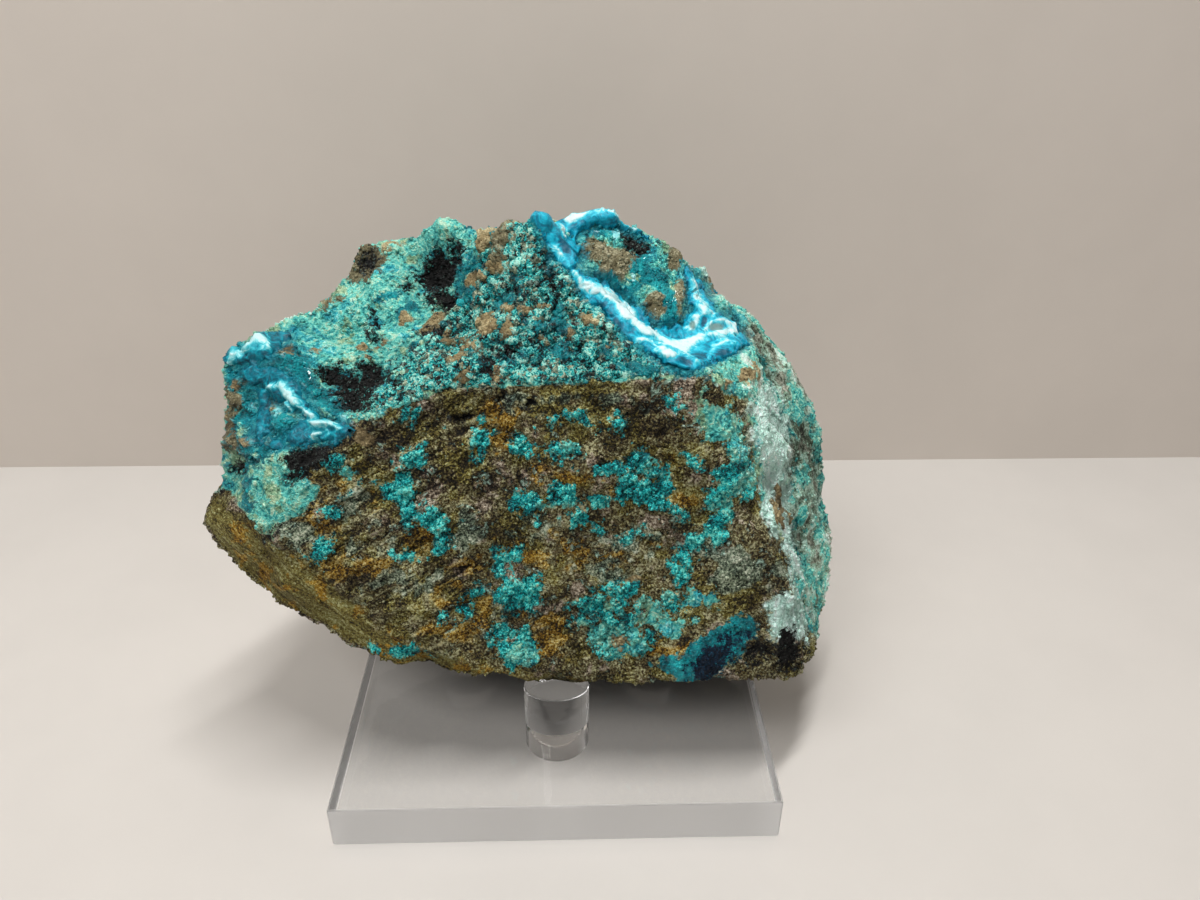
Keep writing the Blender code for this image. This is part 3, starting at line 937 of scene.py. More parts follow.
def random_turns(rng, count):
    """Random rotation matrices, from random quaternions."""
    w, x, y, z = unit(rng.normal(size=(count, 4))).T
    rows = [
        [1 - 2 * (y * y + z * z), 2 * (x * y - z * w), 2 * (x * z + y * w)],
        [2 * (x * y + z * w), 1 - 2 * (x * x + z * z), 2 * (y * z - x * w)],
        [2 * (x * z - y * w), 2 * (y * z + x * w), 1 - 2 * (x * x + y * y)],
    ]
    return np.array(rows).transpose(2, 0, 1)


# how much a grain's cube is stretched along its sides, its corners are shaken, and its height field rises,
# which makes its colour lighter as painted light
GRAIN_STRETCH = (0.65, 1.2)
CORNER_SHAKE = 0.3
GRAIN_RISE = 0.3
# over which depths inside its edge, in millimetres, a mineral's grains thicken
GRAIN_EDGE = (-0.2, 0.4)
# number of grains, their smallest and largest sizes in millimetres, and seed
GRAIN_LAYERS = {
    "rock_grains": (14000, 0.35, 0.85, 301),
    "crust_grains": (10000, 0.35, 0.8, 302),
    "pebbly_grains": (7000, 0.45, 1.5, 303),
    "coat_grains": (7000, 0.35, 0.8, 304),
}


def grain_weights(points, fields):
    """How thickly each kind of grain lies at each point. None lie in the glassy bed or over the pegs."""
    rock, crust, pebbly = (ease(*GRAIN_EDGE, fields[name]) for name in ("rock", "crust", "pebbly"))
    keel = ease(-1.4, 0.2, fields["keel"])
    clear = ease(0.0, 2.0, points[:, 2] - seat_height(points)) * ease(0.2, -0.2, fields["vein"])
    return {
        "rock_grains": rock * (1 - 0.9 * crust) * (1 - 0.96 * keel) * clear,
        "crust_grains": crust * clear,
        "pebbly_grains": pebbly * (1 - rock) * clear,
        "coat_grains": (0.2 + ease(-0.3, 0.4, fields["black"])) * (1 - rock) * (1 - pebbly) * clear,
    }


def sow_grains(surface, weights, count, sizes, seed):
    """Small crystals sown on the faces of a surface, more of them where the weights are high.

    Each is a cube with its corners shaken, stretched and turned at random, and half sunk in its face.
    """
    points, faces, fields = surface
    rng = np.random.default_rng(seed)
    corners = points[faces]
    normal = np.cross(corners[:, 2] - corners[:, 0], corners[:, 3] - corners[:, 1])
    chance = np.linalg.norm(normal, axis=1) * weights[faces].mean(axis=1)
    chosen = rng.choice(len(faces), count, p=chance / chance.sum())
    share = rng.dirichlet((1, 1, 1, 1), count)
    centres = (corners[chosen] * share[:, :, None]).sum(axis=1)
    smallest, largest = sizes
    spans = smallest + (largest - smallest) * rng.random(count) ** 2
    stretch = rng.uniform(*GRAIN_STRETCH, (count, 1, 3))
    shaken = CUBE_CORNERS + rng.uniform(-CORNER_SHAKE, CORNER_SHAKE, (count, 8, 3))
    shapes = shaken * stretch * spans[:, None, None] / 2
    grains = np.einsum("nij,nkj->nki", random_turns(rng, count), shapes) + centres[:, None, :]
    grain_faces = CUBE_FACES[None] + 8 * np.arange(count)[:, None, None]
    grain_fields = {
        name: np.repeat((values[faces[chosen]] * share).sum(axis=1), 8) for name, values in fields.items()
    }
    grain_fields["grain"] = np.repeat(rng.random(count), 8)
    # painted light: a grain's colour is lighter than the surface under it
    grain_fields["rise"] += GRAIN_RISE
    return grains.reshape(-1, 3), grain_faces.reshape(-1, 4), grain_fields


# --- Colours ---
# the shades of each mineral, from its darkest to its lightest, as display colours from 0 to 255
SHADES = {
    "rock": ((16, 13, 7), (50, 41, 23), (86, 73, 42), (112, 102, 66), (132, 134, 98), (184, 180, 142)),
    "ochre": ((32, 22, 5), (84, 59, 10), (132, 95, 16), (164, 127, 32), (182, 154, 72), (212, 194, 128)),
    "olive": ((28, 25, 9), (68, 59, 21), (104, 92, 38), (130, 120, 60), (148, 148, 94), (190, 188, 140)),
    "plum": ((26, 21, 17), (66, 55, 45), (102, 87, 72), (134, 119, 101), (162, 150, 130), (198, 186, 168)),
    "ash": ((32, 38, 30), (68, 84, 70), (102, 121, 102), (138, 156, 134), (166, 182, 160), (206, 214, 196)),
    "mint": (
        (16, 62, 66), (28, 122, 128), (62, 172, 168), (104, 206, 194), (138, 218, 198), (192, 230, 204),
    ),
    "sage": ((58, 80, 56), (96, 130, 94), (134, 166, 122), (166, 192, 148), (196, 212, 170)),
    "sea": ((2, 58, 72), (4, 108, 128), (12, 152, 172), (66, 194, 202), (150, 226, 222)),
    "pebbles": ((4, 26, 28), (0, 88, 92), (4, 142, 146), (24, 180, 180), (98, 206, 192), (176, 230, 214)),
    "flank": (
        (68, 84, 66), (122, 148, 126), (162, 196, 174), (184, 222, 206), (204, 238, 224), (232, 246, 238),
    ),
    "strip": ((130, 166, 156), (178, 220, 206), (204, 242, 230), (216, 248, 240), (236, 250, 246)),
    "crust": ((0, 34, 38), (0, 86, 92), (0, 132, 138), (2, 168, 172), (36, 200, 196), (122, 226, 212)),
    "teal": ((2, 50, 58), (2, 92, 102), (4, 131, 140), (22, 164, 170), (88, 206, 204)),
    "tan": ((56, 48, 32), (98, 86, 60), (134, 118, 84), (162, 146, 108), (208, 196, 156)),
    "granite": ((28, 26, 18), (62, 56, 40), (92, 86, 62), (122, 116, 88), (172, 168, 140)),
    "navy": ((2, 10, 26), (2, 30, 52), (2, 58, 80), (4, 100, 112), (6, 130, 136)),
    "pale": ((50, 178, 190), (104, 208, 214), (150, 226, 228), (204, 240, 238)),
    # black minerals, and painted shade in cavities and cracks
    "black_and_shade": ((7, 7, 8), (20, 20, 21), (36, 37, 36), (62, 72, 68), (118, 146, 136)),
    "drape": (
        (2, 56, 70), (2, 86, 104), (4, 118, 138), (12, 150, 170),
        (60, 184, 198), (132, 216, 222), (196, 236, 238),
    ),
    "vein": (
        (2, 84, 108), (2, 118, 146), (6, 154, 184), (22, 184, 212),
        (74, 206, 224), (150, 226, 234), (214, 240, 242),
    ),
}
SEAM_COLOR = (84, 100, 80)
GREY_SPOT_COLOR = (112, 136, 128)


def linear(red, green, blue):
    """A display colour, 0 to 255, as the light values that shaders use."""
    shares = np.array([red, green, blue]) / 255
    return (*np.where(shares <= 0.04045, shares / 12.92, ((shares + 0.055) / 1.055) ** 2.4), 1.0)


# --- Shader nodes ---
class Board:
    """A short way to lay out shader nodes: most methods add one node and return its output."""

    def __init__(self, tree):
        self.tree = tree

    def add(self, kind, inputs=(), **settings):
        """A new node of this kind, with these settings and inputs."""
        node = self.tree.nodes.new(kind)
        for name, value in settings.items():
            setattr(node, name, value)
        self.feed(node.inputs, dict(inputs))
        return node

    def feed(self, sockets, values):
        """Links each named socket to its value, or sets it where the value is plain."""
        for name, value in values.items():
            if isinstance(value, bpy.types.NodeSocket):
                self.tree.links.new(value, sockets[name])
            else:
                sockets[name].default_value = value

    def show(self, surface):
        """Makes this shader the material's surface."""
        self.feed(self.tree.nodes["Material Output"].inputs, {"Surface": surface})

    def coordinates(self):
        """Object coordinates in millimetres."""
        coordinates = self.add("ShaderNodeTexCoord").outputs["Object"]
        return self.vector("SCALE", coordinates, scale=1 / MM)

    def drawn_out(self, vector, turn, stretch):
        """Turns the coordinates about Y, then draws the pattern out along each of the turned axes."""
        inputs = {"Vector": vector, "Rotation": (0, -turn, 0), "Scale": stretch}
        return self.add("ShaderNodeMapping", inputs, vector_type="TEXTURE").outputs[0]

    def field(self, name):
        """One of the fields that a mesh carries as attributes."""
        return self.add("ShaderNodeAttribute", attribute_name=name).outputs["Fac"]

    def noise(self, vector, size, detail=3.0, roughness=0.6, bend=0.0):
        """Noise from 0 to 1 with grains of this size in millimetres; bend is how far it swirls."""
        inputs = {"Vector": vector, "Scale": 1 / size, "Detail": detail, "Roughness": roughness}
        return self.add("ShaderNodeTexNoise", inputs | {"Distortion": bend}).outputs["Fac"]

    def cells(self, vector, size):
        """Random cells: the distance from each one's middle, and two random numbers for each."""
        node = self.add("ShaderNodeTexVoronoi", {"Vector": vector, "Scale": 1 / size})
        parts = self.add("ShaderNodeSeparateColor", {"Color": node.outputs["Color"]})
        return node.outputs["Distance"], parts.outputs["Red"], parts.outputs["Green"]

    def math(self, operation, first, second=0.0, third=0.0):
        """A number worked out by this operation."""
        return self.add("ShaderNodeMath", {0: first, 1: second, 2: third}, operation=operation).outputs[0]

    def times(self, first, second):
        """The product of two numbers."""
        return self.math("MULTIPLY", first, second)

    def vector(self, operation, first, second=(0.0, 0.0, 0.0), scale=1.0):
        """A vector worked out by this operation."""
        inputs = {0: first, 1: second, 3: scale}
        return self.add("ShaderNodeVectorMath", inputs, operation=operation).outputs[0]

    def total(self, *terms):
        """The sum of values times their factors, given as (value, factor), and of plain numbers."""
        result = 0.0
        for term in terms:
            if isinstance(term, tuple):
                result = self.math("MULTIPLY_ADD", *term, result)
            else:
                result = self.math("ADD", result, term)
        return result

    def swing(self, value, height=1.0):
        """A value from 0 to 1, spread from minus half the height to plus half the height."""
        return self.total((value, height), -height / 2)

    def step(self, value, low, high, bottom=0.0, top=1.0):
        """A smooth step from bottom to top as the value goes from low to high."""
        inputs = {"Value": value, "From Min": low, "From Max": high, "To Min": bottom, "To Max": top}
        return self.add("ShaderNodeMapRange", inputs, interpolation_type="SMOOTHSTEP").outputs["Result"]

    def shades(self, value, mineral):
        """The shades of a mineral, evenly spaced from value 0 to value 1."""
        node = self.add("ShaderNodeValToRGB", {"Fac": value})
        elements = node.color_ramp.elements
        count = len(SHADES[mineral])
        while len(elements) < count:
            elements.new(0.5)
        for number, element in enumerate(elements):
            element.position = number / (count - 1)
            element.color = (*getattr(bpy.context.scene.specimen.shades, f"{mineral}_{number + 1}"), 1.0)
        return node.outputs["Color"]

    def mix(self, share, first, second):
        """A colour between the first, at share 0, and the second, at share 1."""
        return self.add("ShaderNodeMix", {0: share, 6: first, 7: second}, data_type="RGBA").outputs[2]

    def paint(self, color, share, tone, mineral):
        """A colour, covered for this share by a mineral at this tone."""
        return self.mix(share, color, self.shades(tone, mineral))

    def blend(self, share, first, second):
        """A number between the first, at share 0, and the second, at share 1."""
        return self.add("ShaderNodeMix", {0: share, 2: first, 3: second}, data_type="FLOAT").outputs[0]

    def mix_shaders(self, share, first, second):
        """A mix of the first shader, at share 0, and the second, at share 1."""
        return self.add("ShaderNodeMixShader", {0: share, 1: first, 2: second}).outputs[0]

    def bump(self, height, strength, distance):
        """The surface's direction with bumps of this distance in metres."""
        inputs = {"Height": height, "Strength": strength, "Distance": distance}
        return self.add("ShaderNodeBump", inputs).outputs[0]

    def effect(self, build, inputs):
        """The outputs of a shared effect, which is built when it is first asked for."""
        tree = bpy.data.node_groups.get(build.__name__) or build(build.__name__)
        return self.add("ShaderNodeGroup", inputs, node_tree=tree).outputs


def new_material(name, kind=Board):
    """A material, its Principled shader, and a board of this kind to lay out its nodes on."""
    material = bpy.data.materials.new(name)
    material.use_nodes = True
    shader = material.node_tree.nodes["Principled BSDF"]
    return material, shader, kind(material.node_tree)


# --- The stone's material ---
class StoneBoard(Board):
    """A board with the noises, fields and tones that the stone's minerals share."""

    def __init__(self, tree):
        super().__init__(tree)
        self.place = self.coordinates()
        self.grain = self.swing(self.field("grain"))
        self.rise = self.field("rise")
        self.hue = self.field("hue")
        self.fine = self.swing(self.noise(self.place, 1.0, 4, 0.75), 5.0)
        self.speck = self.swing(self.noise(self.place, 0.42, 2, 0.7))
        self.blotch = self.swing(self.noise(self.place, 3.0, 5, 0.7, 0.5))
        self.flow = self.swing(self.noise(self.place, 2.4, 5, 0.62, 2.2))
        bedding = self.drawn_out(self.place, BEDDING_TURN, (4.2, 1.7, 1))
        self.streak = self.swing(self.noise(bedding, 1.2, 4, 0.7, 0.6))
        fibres = self.drawn_out(self.place, 0, (1, 1, 4))
        self.fibre = self.swing(self.noise(fibres, 1.5, 4, 0.72, 0.5))
        self.away, self.pick, self.kind = self.cells(self.place, 1.15)
        # painted shade of the hollows, which darkens the rock, the flank and the crust
        self.shade = self.mask("shade", 1.0, 0.8)
        self.layers = self.mask("layers", 2.0)
        self.beds = self.times(self.streak, self.layers)
        self.tint = self.total((self.hue, 1.0), (self.blotch, 0.9), (self.fine, 0.07))
        # rough, smooth and the mint's soft tone grow lighter with the relief's height: painted light on high
        # places, painted shade in low ones
        self.rough = self.total((self.speck, 2.1), (self.grain, 0.3), (self.rise, 0.2), 0.5)
        self.smooth = self.total(self.speck, (self.grain, 0.2), (self.rise, 0.2), (self.blotch, 1.4), 0.5)
        soft = self.total((self.speck, 0.8), (self.grain, 0.2), (self.rise, 0.16), 0.57)
        self.mint_tone = self.total((self.flow, 2.6), (self.mask("block", 0.4), -0.25), soft)

    def mask(self, name, soft=0.3, swing=0.5):
        """A mineral's share: a step across the edge of its field, which fine noise shifts by the swing."""
        shifted = self.total((self.fine, swing), self.field(name))
        return self.step(shifted, -soft, soft)


def rock_color(board):
    """Brown rock in several casts, with rust, painted shade, grey streaks that are partly a painted sheen,
    and a pale bloom, and streaks under its keel edge.
    """
    blotches = board.times(board.blotch, board.total((board.layers, -0.6), 1.0))
    coarse = board.total((board.beds, 3.0), (blotches, 2.7), (board.shade, -0.32))
    tone = board.total(coarse, (board.speck, 0.95), board.rough, -0.03)
    color = board.paint(board.shades(tone, "rock"), board.step(board.tint, 0.5, 0.32), tone, "olive")
    color = board.paint(color, board.step(board.tint, 0.66, 0.82), tone, "plum")
    rust = board.total((board.streak, 2.4), (board.fine, 0.12), (board.hue, -0.5), 0.38)
    rust = board.total((board.field("ochre"), 0.32), rust)
    color = board.paint(color, board.step(rust, -0.1, 0.45, 0.0, 0.9), tone, "ochre")
    # grey streaks, partly a painted sheen
    color = board.paint(color, board.times(board.mask("ash", 0.9, 0.8), 0.8), tone, "ash")
    bloom = board.total((board.blotch, -1.0), (board.fine, 0.06), (board.hue, 0.25))
    color = board.paint(color, board.step(bloom, 0.24, 0.34, 0.0, 0.7), board.rough, "flank")
    beds = board.drawn_out(board.place, KEEL_TURN, (7, 2, 1))
    under = board.total((board.noise(beds, 1.0, 4, 0.7, 0.4), 2.0), (board.speck, 2.0), -0.5)
    keel = board.paint(board.shades(under, "olive"), board.step(board.tint, 0.46, 0.36), under, "ochre")
    inside = board.total((board.fine, 1.6), board.field("keel"))
    return board.mix(board.step(inside, -0.2, 2.2), color, keel)


def coat_color(board):
    """Mint coat, greener and bluer by turns, with thin grey seams."""
    tint, tone = board.tint, board.mint_tone
    color = board.paint(board.shades(tone, "mint"), board.step(tint, 0.55, 0.72, 0.0, 0.8), tone, "sage")
    color = board.paint(color, board.step(tint, 0.36, 0.26, 0.0, 0.8), tone, "sea")
    seam = board.math("ABSOLUTE", board.total((board.blotch, 1.0), -0.03))
    return board.mix(board.step(seam, 0.016, 0.0, 0.0, 0.4), color, linear(*SEAM_COLOR))


def flank_color(board):
    """The pale flank: fibrous grey-green rock, mint where its tint is low and plum where it is high."""
    tint = board.tint
    # the painted shade of the hollows darkens the flank
    veil = board.total((board.fibre, 2.1), (board.shade, -0.3), (board.speck, -0.8))
    tone = board.total(veil, board.rough, 0.06)
    color = board.shades(tone, "flank")
    color = board.mix(board.step(tint, 0.52, 0.4), color, board.shades(board.mint_tone, "mint"))
    return board.paint(color, board.step(tint, 0.62, 0.74, 0.0, 0.7), tone, "plum")


def pebble_color(board):
    """Small chips, each with its own tone, some of them of granite, tan or black."""
    chips = board.total((board.pick, 0.5), (board.away, -0.35), (board.blotch, 2.8))
    tone = board.total((board.speck, 1.1), chips, board.rough, -0.02)
    color = board.shades(tone, "pebbles")
    odd = board.total((board.kind, 1.0), (board.grain, 0.5))
    color = board.paint(color, board.step(odd, 0.8, 0.84, 0.0, 0.8), tone, "granite")
    color = board.paint(color, board.step(odd, 1.2, 1.23), tone, "tan")
    return board.paint(color, board.step(odd, 0.1, 0.06), tone, "black_and_shade")


def glaze_color(board, color):
    """The knob's thin glaze over a colour: teal, paler along the lip of each flake, partly as a painted
    highlight.
    """
    lip = board.field("lip")
    tone = board.total((lip, 0.3), (board.blotch, 1.2), (board.speck, 1.2), 0.31)
    edge = board.step(board.total((lip, 1.0), (board.fine, 0.04)), 0.86, 0.95, 0.0, 0.45)
    glaze = board.paint(board.shades(tone, "teal"), edge, board.mint_tone, "pale")
    share = board.times(board.mask("knob", 0.4), board.step(board.field("rock"), 0.3, -0.3))
    color = board.mix(board.times(share, board.step(board.tint, 0.6, 0.52)), color, glaze)
    return share, color


def crust_color(board, color, coat):
    """Teal crust over a colour: mint toward its edges, and coated where mint lies over it."""
    reach = board.total((board.fine, 1.25), board.field("crust"))
    share = board.step(reach, -0.5, 0.1)
    # higher crust is lighter, as painted light, and the painted shade of the hollows darkens it
    fine = board.total((board.speck, 2.8), (board.grain, 0.3), (board.rise, 0.25), 0.24)
    tone = board.total((board.blotch, 2.2), (board.shade, -0.2), (board.hue, 0.5), fine)
    crust = board.shades(tone, "crust")
    crust = board.paint(crust, board.step(reach, 0.25, -0.3, 0.0, 0.35), board.rough, "mint")
    mint = board.mask("mint", 0.3, 1.0)
    crust = board.mix(board.times(mint, 0.7), crust, coat)
    return share, board.mix(share, board.mix(mint, color, coat), crust)


def stone_color(board):
    """The stone's whole colour, mineral over mineral, and the share of each point that shines."""
    blotch, speck = board.blotch, board.speck
    coat = coat_color(board)
    color = board.mix(board.mask("flank"), coat, flank_color(board))
    color = board.mix(board.mask("pebbly"), color, pebble_color(board))
    color = board.mix(board.mask("rock", 0.3, 0.4), color, rock_color(board))
    strip = board.total((board.fibre, 3.2), (speck, 1.0), 0.57)
    color = board.paint(color, board.mask("strip", 0.8, 1.0), strip, "strip")
    knob, color = glaze_color(board, color)
    teal = board.mask("teal", 0.25)
    # teal is lighter on high places: painted light
    tone = board.total((blotch, 2.0), (speck, 0.6), (board.rise, 0.1), 0.42)
    color = board.paint(color, teal, tone, "teal")
    crust, color = crust_color(board, color, coat)
    color = board.paint(color, board.mask("granite"), board.smooth, "granite")
    navy = board.mask("navy", 0.8, 1.5)
    tone = board.total((navy, -0.9), (speck, 1.6), (board.grain, 0.3), 1.05)
    color = board.paint(color, board.step(navy, 0.0, 0.4), tone, "navy")
    color = board.paint(color, board.mask("tan", 0.2, 0.3), board.smooth, "tan")
    # pale patches, partly painted highlights, lighter on high places as painted light
    tone = board.total((board.flow, 2.0), (board.rise, 0.1), 0.55)
    color = board.paint(color, board.mask("pale", 0.15, 0.3), tone, "pale")
    # black patches, partly painted shade in cavities and cracks
    tone = board.total((board.fibre, 1.6), (speck, 0.8), board.rough, -0.15)
    color = board.paint(color, board.mask("black", 0.45, 2.0), tone, "black_and_shade")
    halo = board.total((board.fine, 0.9), board.field("vein"))
    tone = board.total((board.flow, 2.0), (board.fine, 0.08), 0.5)
    color = board.paint(color, board.step(halo, -1.8, -0.3, 0.0, 0.8), tone, "sea")
    shine = board.math("MAXIMUM", teal, board.math("MAXIMUM", board.times(crust, 0.5), knob))
    return color, board.times(shine, board.step(navy, 0.5, 0.0))


def stone_material():
    """Rough rock with the minerals that grow on it. Hollows get painted shade and high places painted light,
    and fine bumps follow the grain.
    """
    material, shader, board = new_material("chrysocolla_rock", StoneBoard)
    color, shine = stone_color(board)
    # painted shade in the hollows and painted light on high places: the colour is scaled by the relief's
    # height
    depth = board.step(board.rise, -1.2, 0.9, 0.66, 1.26)
    grains = board.total((board.speck, 2.0), (board.fine, 0.16), (board.away, -0.4))
    height = board.total((board.beds, 2.0), grains)
    board.feed(shader.inputs, {
        "Base Color": board.vector("SCALE", color, scale=depth),
        "Roughness": board.blend(shine, 0.7, 0.4),
        "Coat Weight": board.times(shine, 0.2),
        "Normal": board.bump(height, 0.8, 0.0006),
        "Specular IOR Level": 0.3,
    })
    return material


# --- The glassy and acrylic materials ---
def new_effect(name, inputs, outputs):
    """An empty effect that several materials share: a node group with number inputs and outputs.

    Returns the group, a board to lay out its nodes on, its inputs' values and its outputs' sockets.
    """
    tree = bpy.data.node_groups.new(name, "ShaderNodeTree")
    for title in inputs:
        tree.interface.new_socket(title, in_out="INPUT", socket_type="NodeSocketFloat")
    for title in outputs:
        tree.interface.new_socket(title, in_out="OUTPUT", socket_type="NodeSocketFloat")
    board = Board(tree)
    return tree, board, board.add("NodeGroupInput").outputs, board.add("NodeGroupOutput").inputs


def glassy_bands(name):
    """Pale bands that flow along a glassy sheet around its white paths, darker in its pockets."""
    tree, board, given, out = new_effect(name, ("Base Tone", "Band Tone"), ("Tone", "Roughness", "Height"))
    place = board.coordinates()
    silk = board.swing(board.noise(place, 0.9, 3, 0.6, 0.6), 2.0)
    swirl = board.swing(board.noise(place, 2.0, 4, 0.6, 1.6), 3.0)
    near = board.step(board.total((swirl, 0.4), board.field("white")), -0.85, 0.6)
    band = board.times(near, given["Band Tone"])
    drift = board.times(swirl, board.total((near, -0.5), 1.0))
    pocket = board.step(board.field("pocket"), -0.35, 0.45)
    flow = board.total((drift, 0.4), (silk, 0.17), (board.field("depth"), 0.03))
    tone = board.total(flow, (pocket, -0.34), given["Base Tone"])
    roughness = board.step(silk, -0.4, 0.4, 0.3, 0.5)
    board.feed(out, {"Tone": board.math("ADD", tone, band), "Roughness": roughness, "Height": swirl})
    return tree


def glassy_material(name, mineral, base_tone, band_tone):
    """Glassy chrysocolla in these shades, with flowing pale bands."""
    material, shader, board = new_material(name)
    bands = board.effect(glassy_bands, {"Base Tone": base_tone, "Band Tone": band_tone})
    color = board.shades(bands["Tone"], mineral)
    grey = board.step(board.field("grey"), -0.15, 0.3, 0.0, 0.85)
    board.feed(shader.inputs, {
        "Base Color": board.mix(grey, color, linear(*GREY_SPOT_COLOR)),
        "Roughness": bands["Roughness"],
        "Normal": board.bump(bands["Height"], 0.4, 0.0004),
        "Specular IOR Level": 0.3,
    })
    return material


def unevenness(name):
    """A soft noise of a given size in millimetres, from its lowest to its highest value."""
    tree, board, given, out = new_effect(name, ("Size", "Lowest", "Highest"), ("Value",))
    sized = board.vector("DIVIDE", board.coordinates(), given["Size"])
    noise = board.noise(sized, 1.0, 3)
    value = board.blend(board.step(noise, 0.3, 0.7), given["Lowest"], given["Highest"])
    board.feed(out, {"Value": value})
    return tree


def uneven(board, size, lowest, highest):
    """Places the unevenness in a material."""
    return board.effect(unevenness, {"Size": size, "Lowest": lowest, "Highest": highest})["Value"]


# how far out from the base's middle its sides grow dull and white, and over what depth
DULL_FROM = 42.04
WHITE_FROM = 42.38
SAWN_EDGE = 0.1
SAWN_WHITE = 0.58
SAWN_COLOR = (0.95, 0.94, 0.93, 1.0)


def acrylic_material():
    """Clear polished acrylic that lets light through to what lies under it. The base's sawn sides are duller
    and a little white."""
    settings = bpy.context.scene.specimen.stand
    material, shader, board = new_material("clear_acrylic")
    place = board.coordinates()
    parts = board.add("ShaderNodeSeparateXYZ", {0: place}).outputs
    aside = board.math("MAXIMUM", board.math("ABSOLUTE", parts[0]), board.math("ABSOLUTE", parts[1]))
    rubbed = board.step(aside, DULL_FROM, DULL_FROM + SAWN_EDGE)
    sawn = board.step(aside, WHITE_FROM, WHITE_FROM + SAWN_EDGE)
    marks = board.step(board.noise(board.drawn_out(place, 0, (1, 1, 50)), 1.6, 2), 0.2, 0.8, 0.9, 1.1)
    dull = board.times(rubbed, board.times(marks, settings.sawn_roughness))
    board.feed(shader.inputs, {
        "Base Color": (1, 1, 1, 1),
        "Transmission Weight": 1.0,
        "IOR": settings.refraction,
        "Roughness": board.total(dull, uneven(board, 6.0, 0.0, 0.02)),
    })
    white = board.add("ShaderNodeBsdfDiffuse", {"Color": SAWN_COLOR}).outputs[0]
    surface = board.mix_shaders(board.times(sawn, SAWN_WHITE), shader.outputs[0], white)
    shadow = board.add("ShaderNodeLightPath").outputs["Is Shadow Ray"]
    clear = (settings.clearness,) * 3 + (1.0,)
    sheer = board.add("ShaderNodeBsdfTransparent", {"Color": clear}).outputs[0]
    board.show(board.mix_shaders(shadow, surface, sheer))
    return material


# --- Glassy sheets: the blue vein and the drapes on the left knob ---
SHEET_STEP = 0.0042
# how far past its ragged edge a sheet goes on, how steeply it dives there, and how soon its bank levels off
SHEET_REACH = -0.9
EDGE_DIVE = 1.2
BANK_RUN = 0.4
SHEET_SINK = 0.25
# how far a sheet's edge draws back where the stone turns away from the viewpoint
EDGE_RETREAT = 8
# middle and half turns of the grid, paths, pale paths, wander of the crests, and shades with their tones
SHEETS = {
    "blue_vein": (((18, 2, 38), (0.78, 0.48)), VEIN_PATHS, WHITE_PATHS, 0.5, ("vein", 0.28, 0.66)),
    "glassy_drapes": (((-36, -5, 16), (0.5, 0.5)), DRAPE_PATHS, CREST_PATHS, 0.35, ("drape", 0.27, 0.7)),
}


def direction_grid(middle, half_turns):
    """Directions on a grid: middle plus s times one axis and t times another, s and t evenly spaced."""
    forward = unit(np.array(middle, dtype=float))
    first = unit(np.cross([0.0, 1.0, 0.0], forward))
    second = np.cross(forward, first)
    counts = [int(2 * half / SHEET_STEP) + 1 for half in half_turns]
    turns = [np.linspace(-half, half, count) for half, count in zip(half_turns, counts)]
    s, t = np.meshgrid(*turns, indexing="ij")
    directions = unit(forward + s[..., None] * first + t[..., None] * second)
    faces = grid_faces(np.arange(counts[0] * counts[1]).reshape(counts))
    return directions.reshape(-1, 3), faces.reshape(-1, 4)


def border_edges(faces, count):
    """How many border edges meet at each point: 2 along a border, and 4 where two faces only touch."""
    edges = np.stack([faces, np.roll(faces, -1, axis=1)], axis=-1).reshape(-1, 2)
    pairs, uses = np.unique(np.sort(edges, axis=1), axis=0, return_counts=True)
    return np.bincount(pairs[uses == 1].ravel(), minlength=count)


def kept_part(points, faces, fields, keep):
    """The faces whose corners are all kept and that meet along edges, with the points that they use."""
    faces = faces[keep[faces].all(axis=1)]
    while (pinched := border_edges(faces, len(points)) > 2).any():
        faces = faces[~pinched[faces].any(axis=1)]
    used, index = np.unique(faces, return_inverse=True)
    return points[used], index.reshape(faces.shape), {name: values[used] for name, values in fields.items()}


def glassy_sheet(grid, paths, pale_paths, wander, bank_height, crest_height):
    """The upper side of a glassy sheet: the stone's form raised by a low bank, with slow ripples and raised
    pale crests, whose edges wander by this many millimetres. The bank rises quickly from the sheet's ragged
    edge and levels off, and past the edge it dives into the stone."""
    directions, faces = direction_grid(*grid)
    points = stone_form(directions)
    normals = form_normals(directions, points)
    across, down = seen(points)
    turned_away = ease(0.25, -0.1, facing(points, normals))
    ragged = 1.3 * fractal(points, 2.4, 210, 3, 0.6) + 0.4 * fractal(points, 0.9, 213, 2)
    depth = path_field(across, down, paths) + ragged - EDGE_RETREAT * turned_away
    bank = np.where(depth > 0, bank_height * (1 - np.exp(-depth / BANK_RUN)), EDGE_DIVE * depth)
    white = path_field(across, down, pale_paths) + wander * fractal(points, 2.0, 214, 3)
    ripple = 0.3 * smooth_noise(points, 2.6, 211) + 0.15 * smooth_noise(points, 1.1, 212)
    height = bank + ripple * ease(-0.2, 0.6, depth) + crest_height * ease(-0.4, 0.4, white) - SHEET_SINK
    height += peak_height(patch_field(across, down, PEAKS))
    fields = {
        "depth": depth,
        "white": white,
        "pocket": patch_field(across, down, BLUE_POCKETS),
        "grey": patch_field(across, down, GREY_SPOTS),
    }
    return kept_part(points + normals * height[:, None], faces, fields, depth > SHEET_REACH)


# --- The acrylic pegs ---
PEG_SIDES = 64
PEG_ROOT = 8.0
# how far the side stands in from the peg's radius and down from its top, ring by ring
PEG_RIM = ((0.0, 0.35), (0.1, 0.1), (0.35, 0.0))


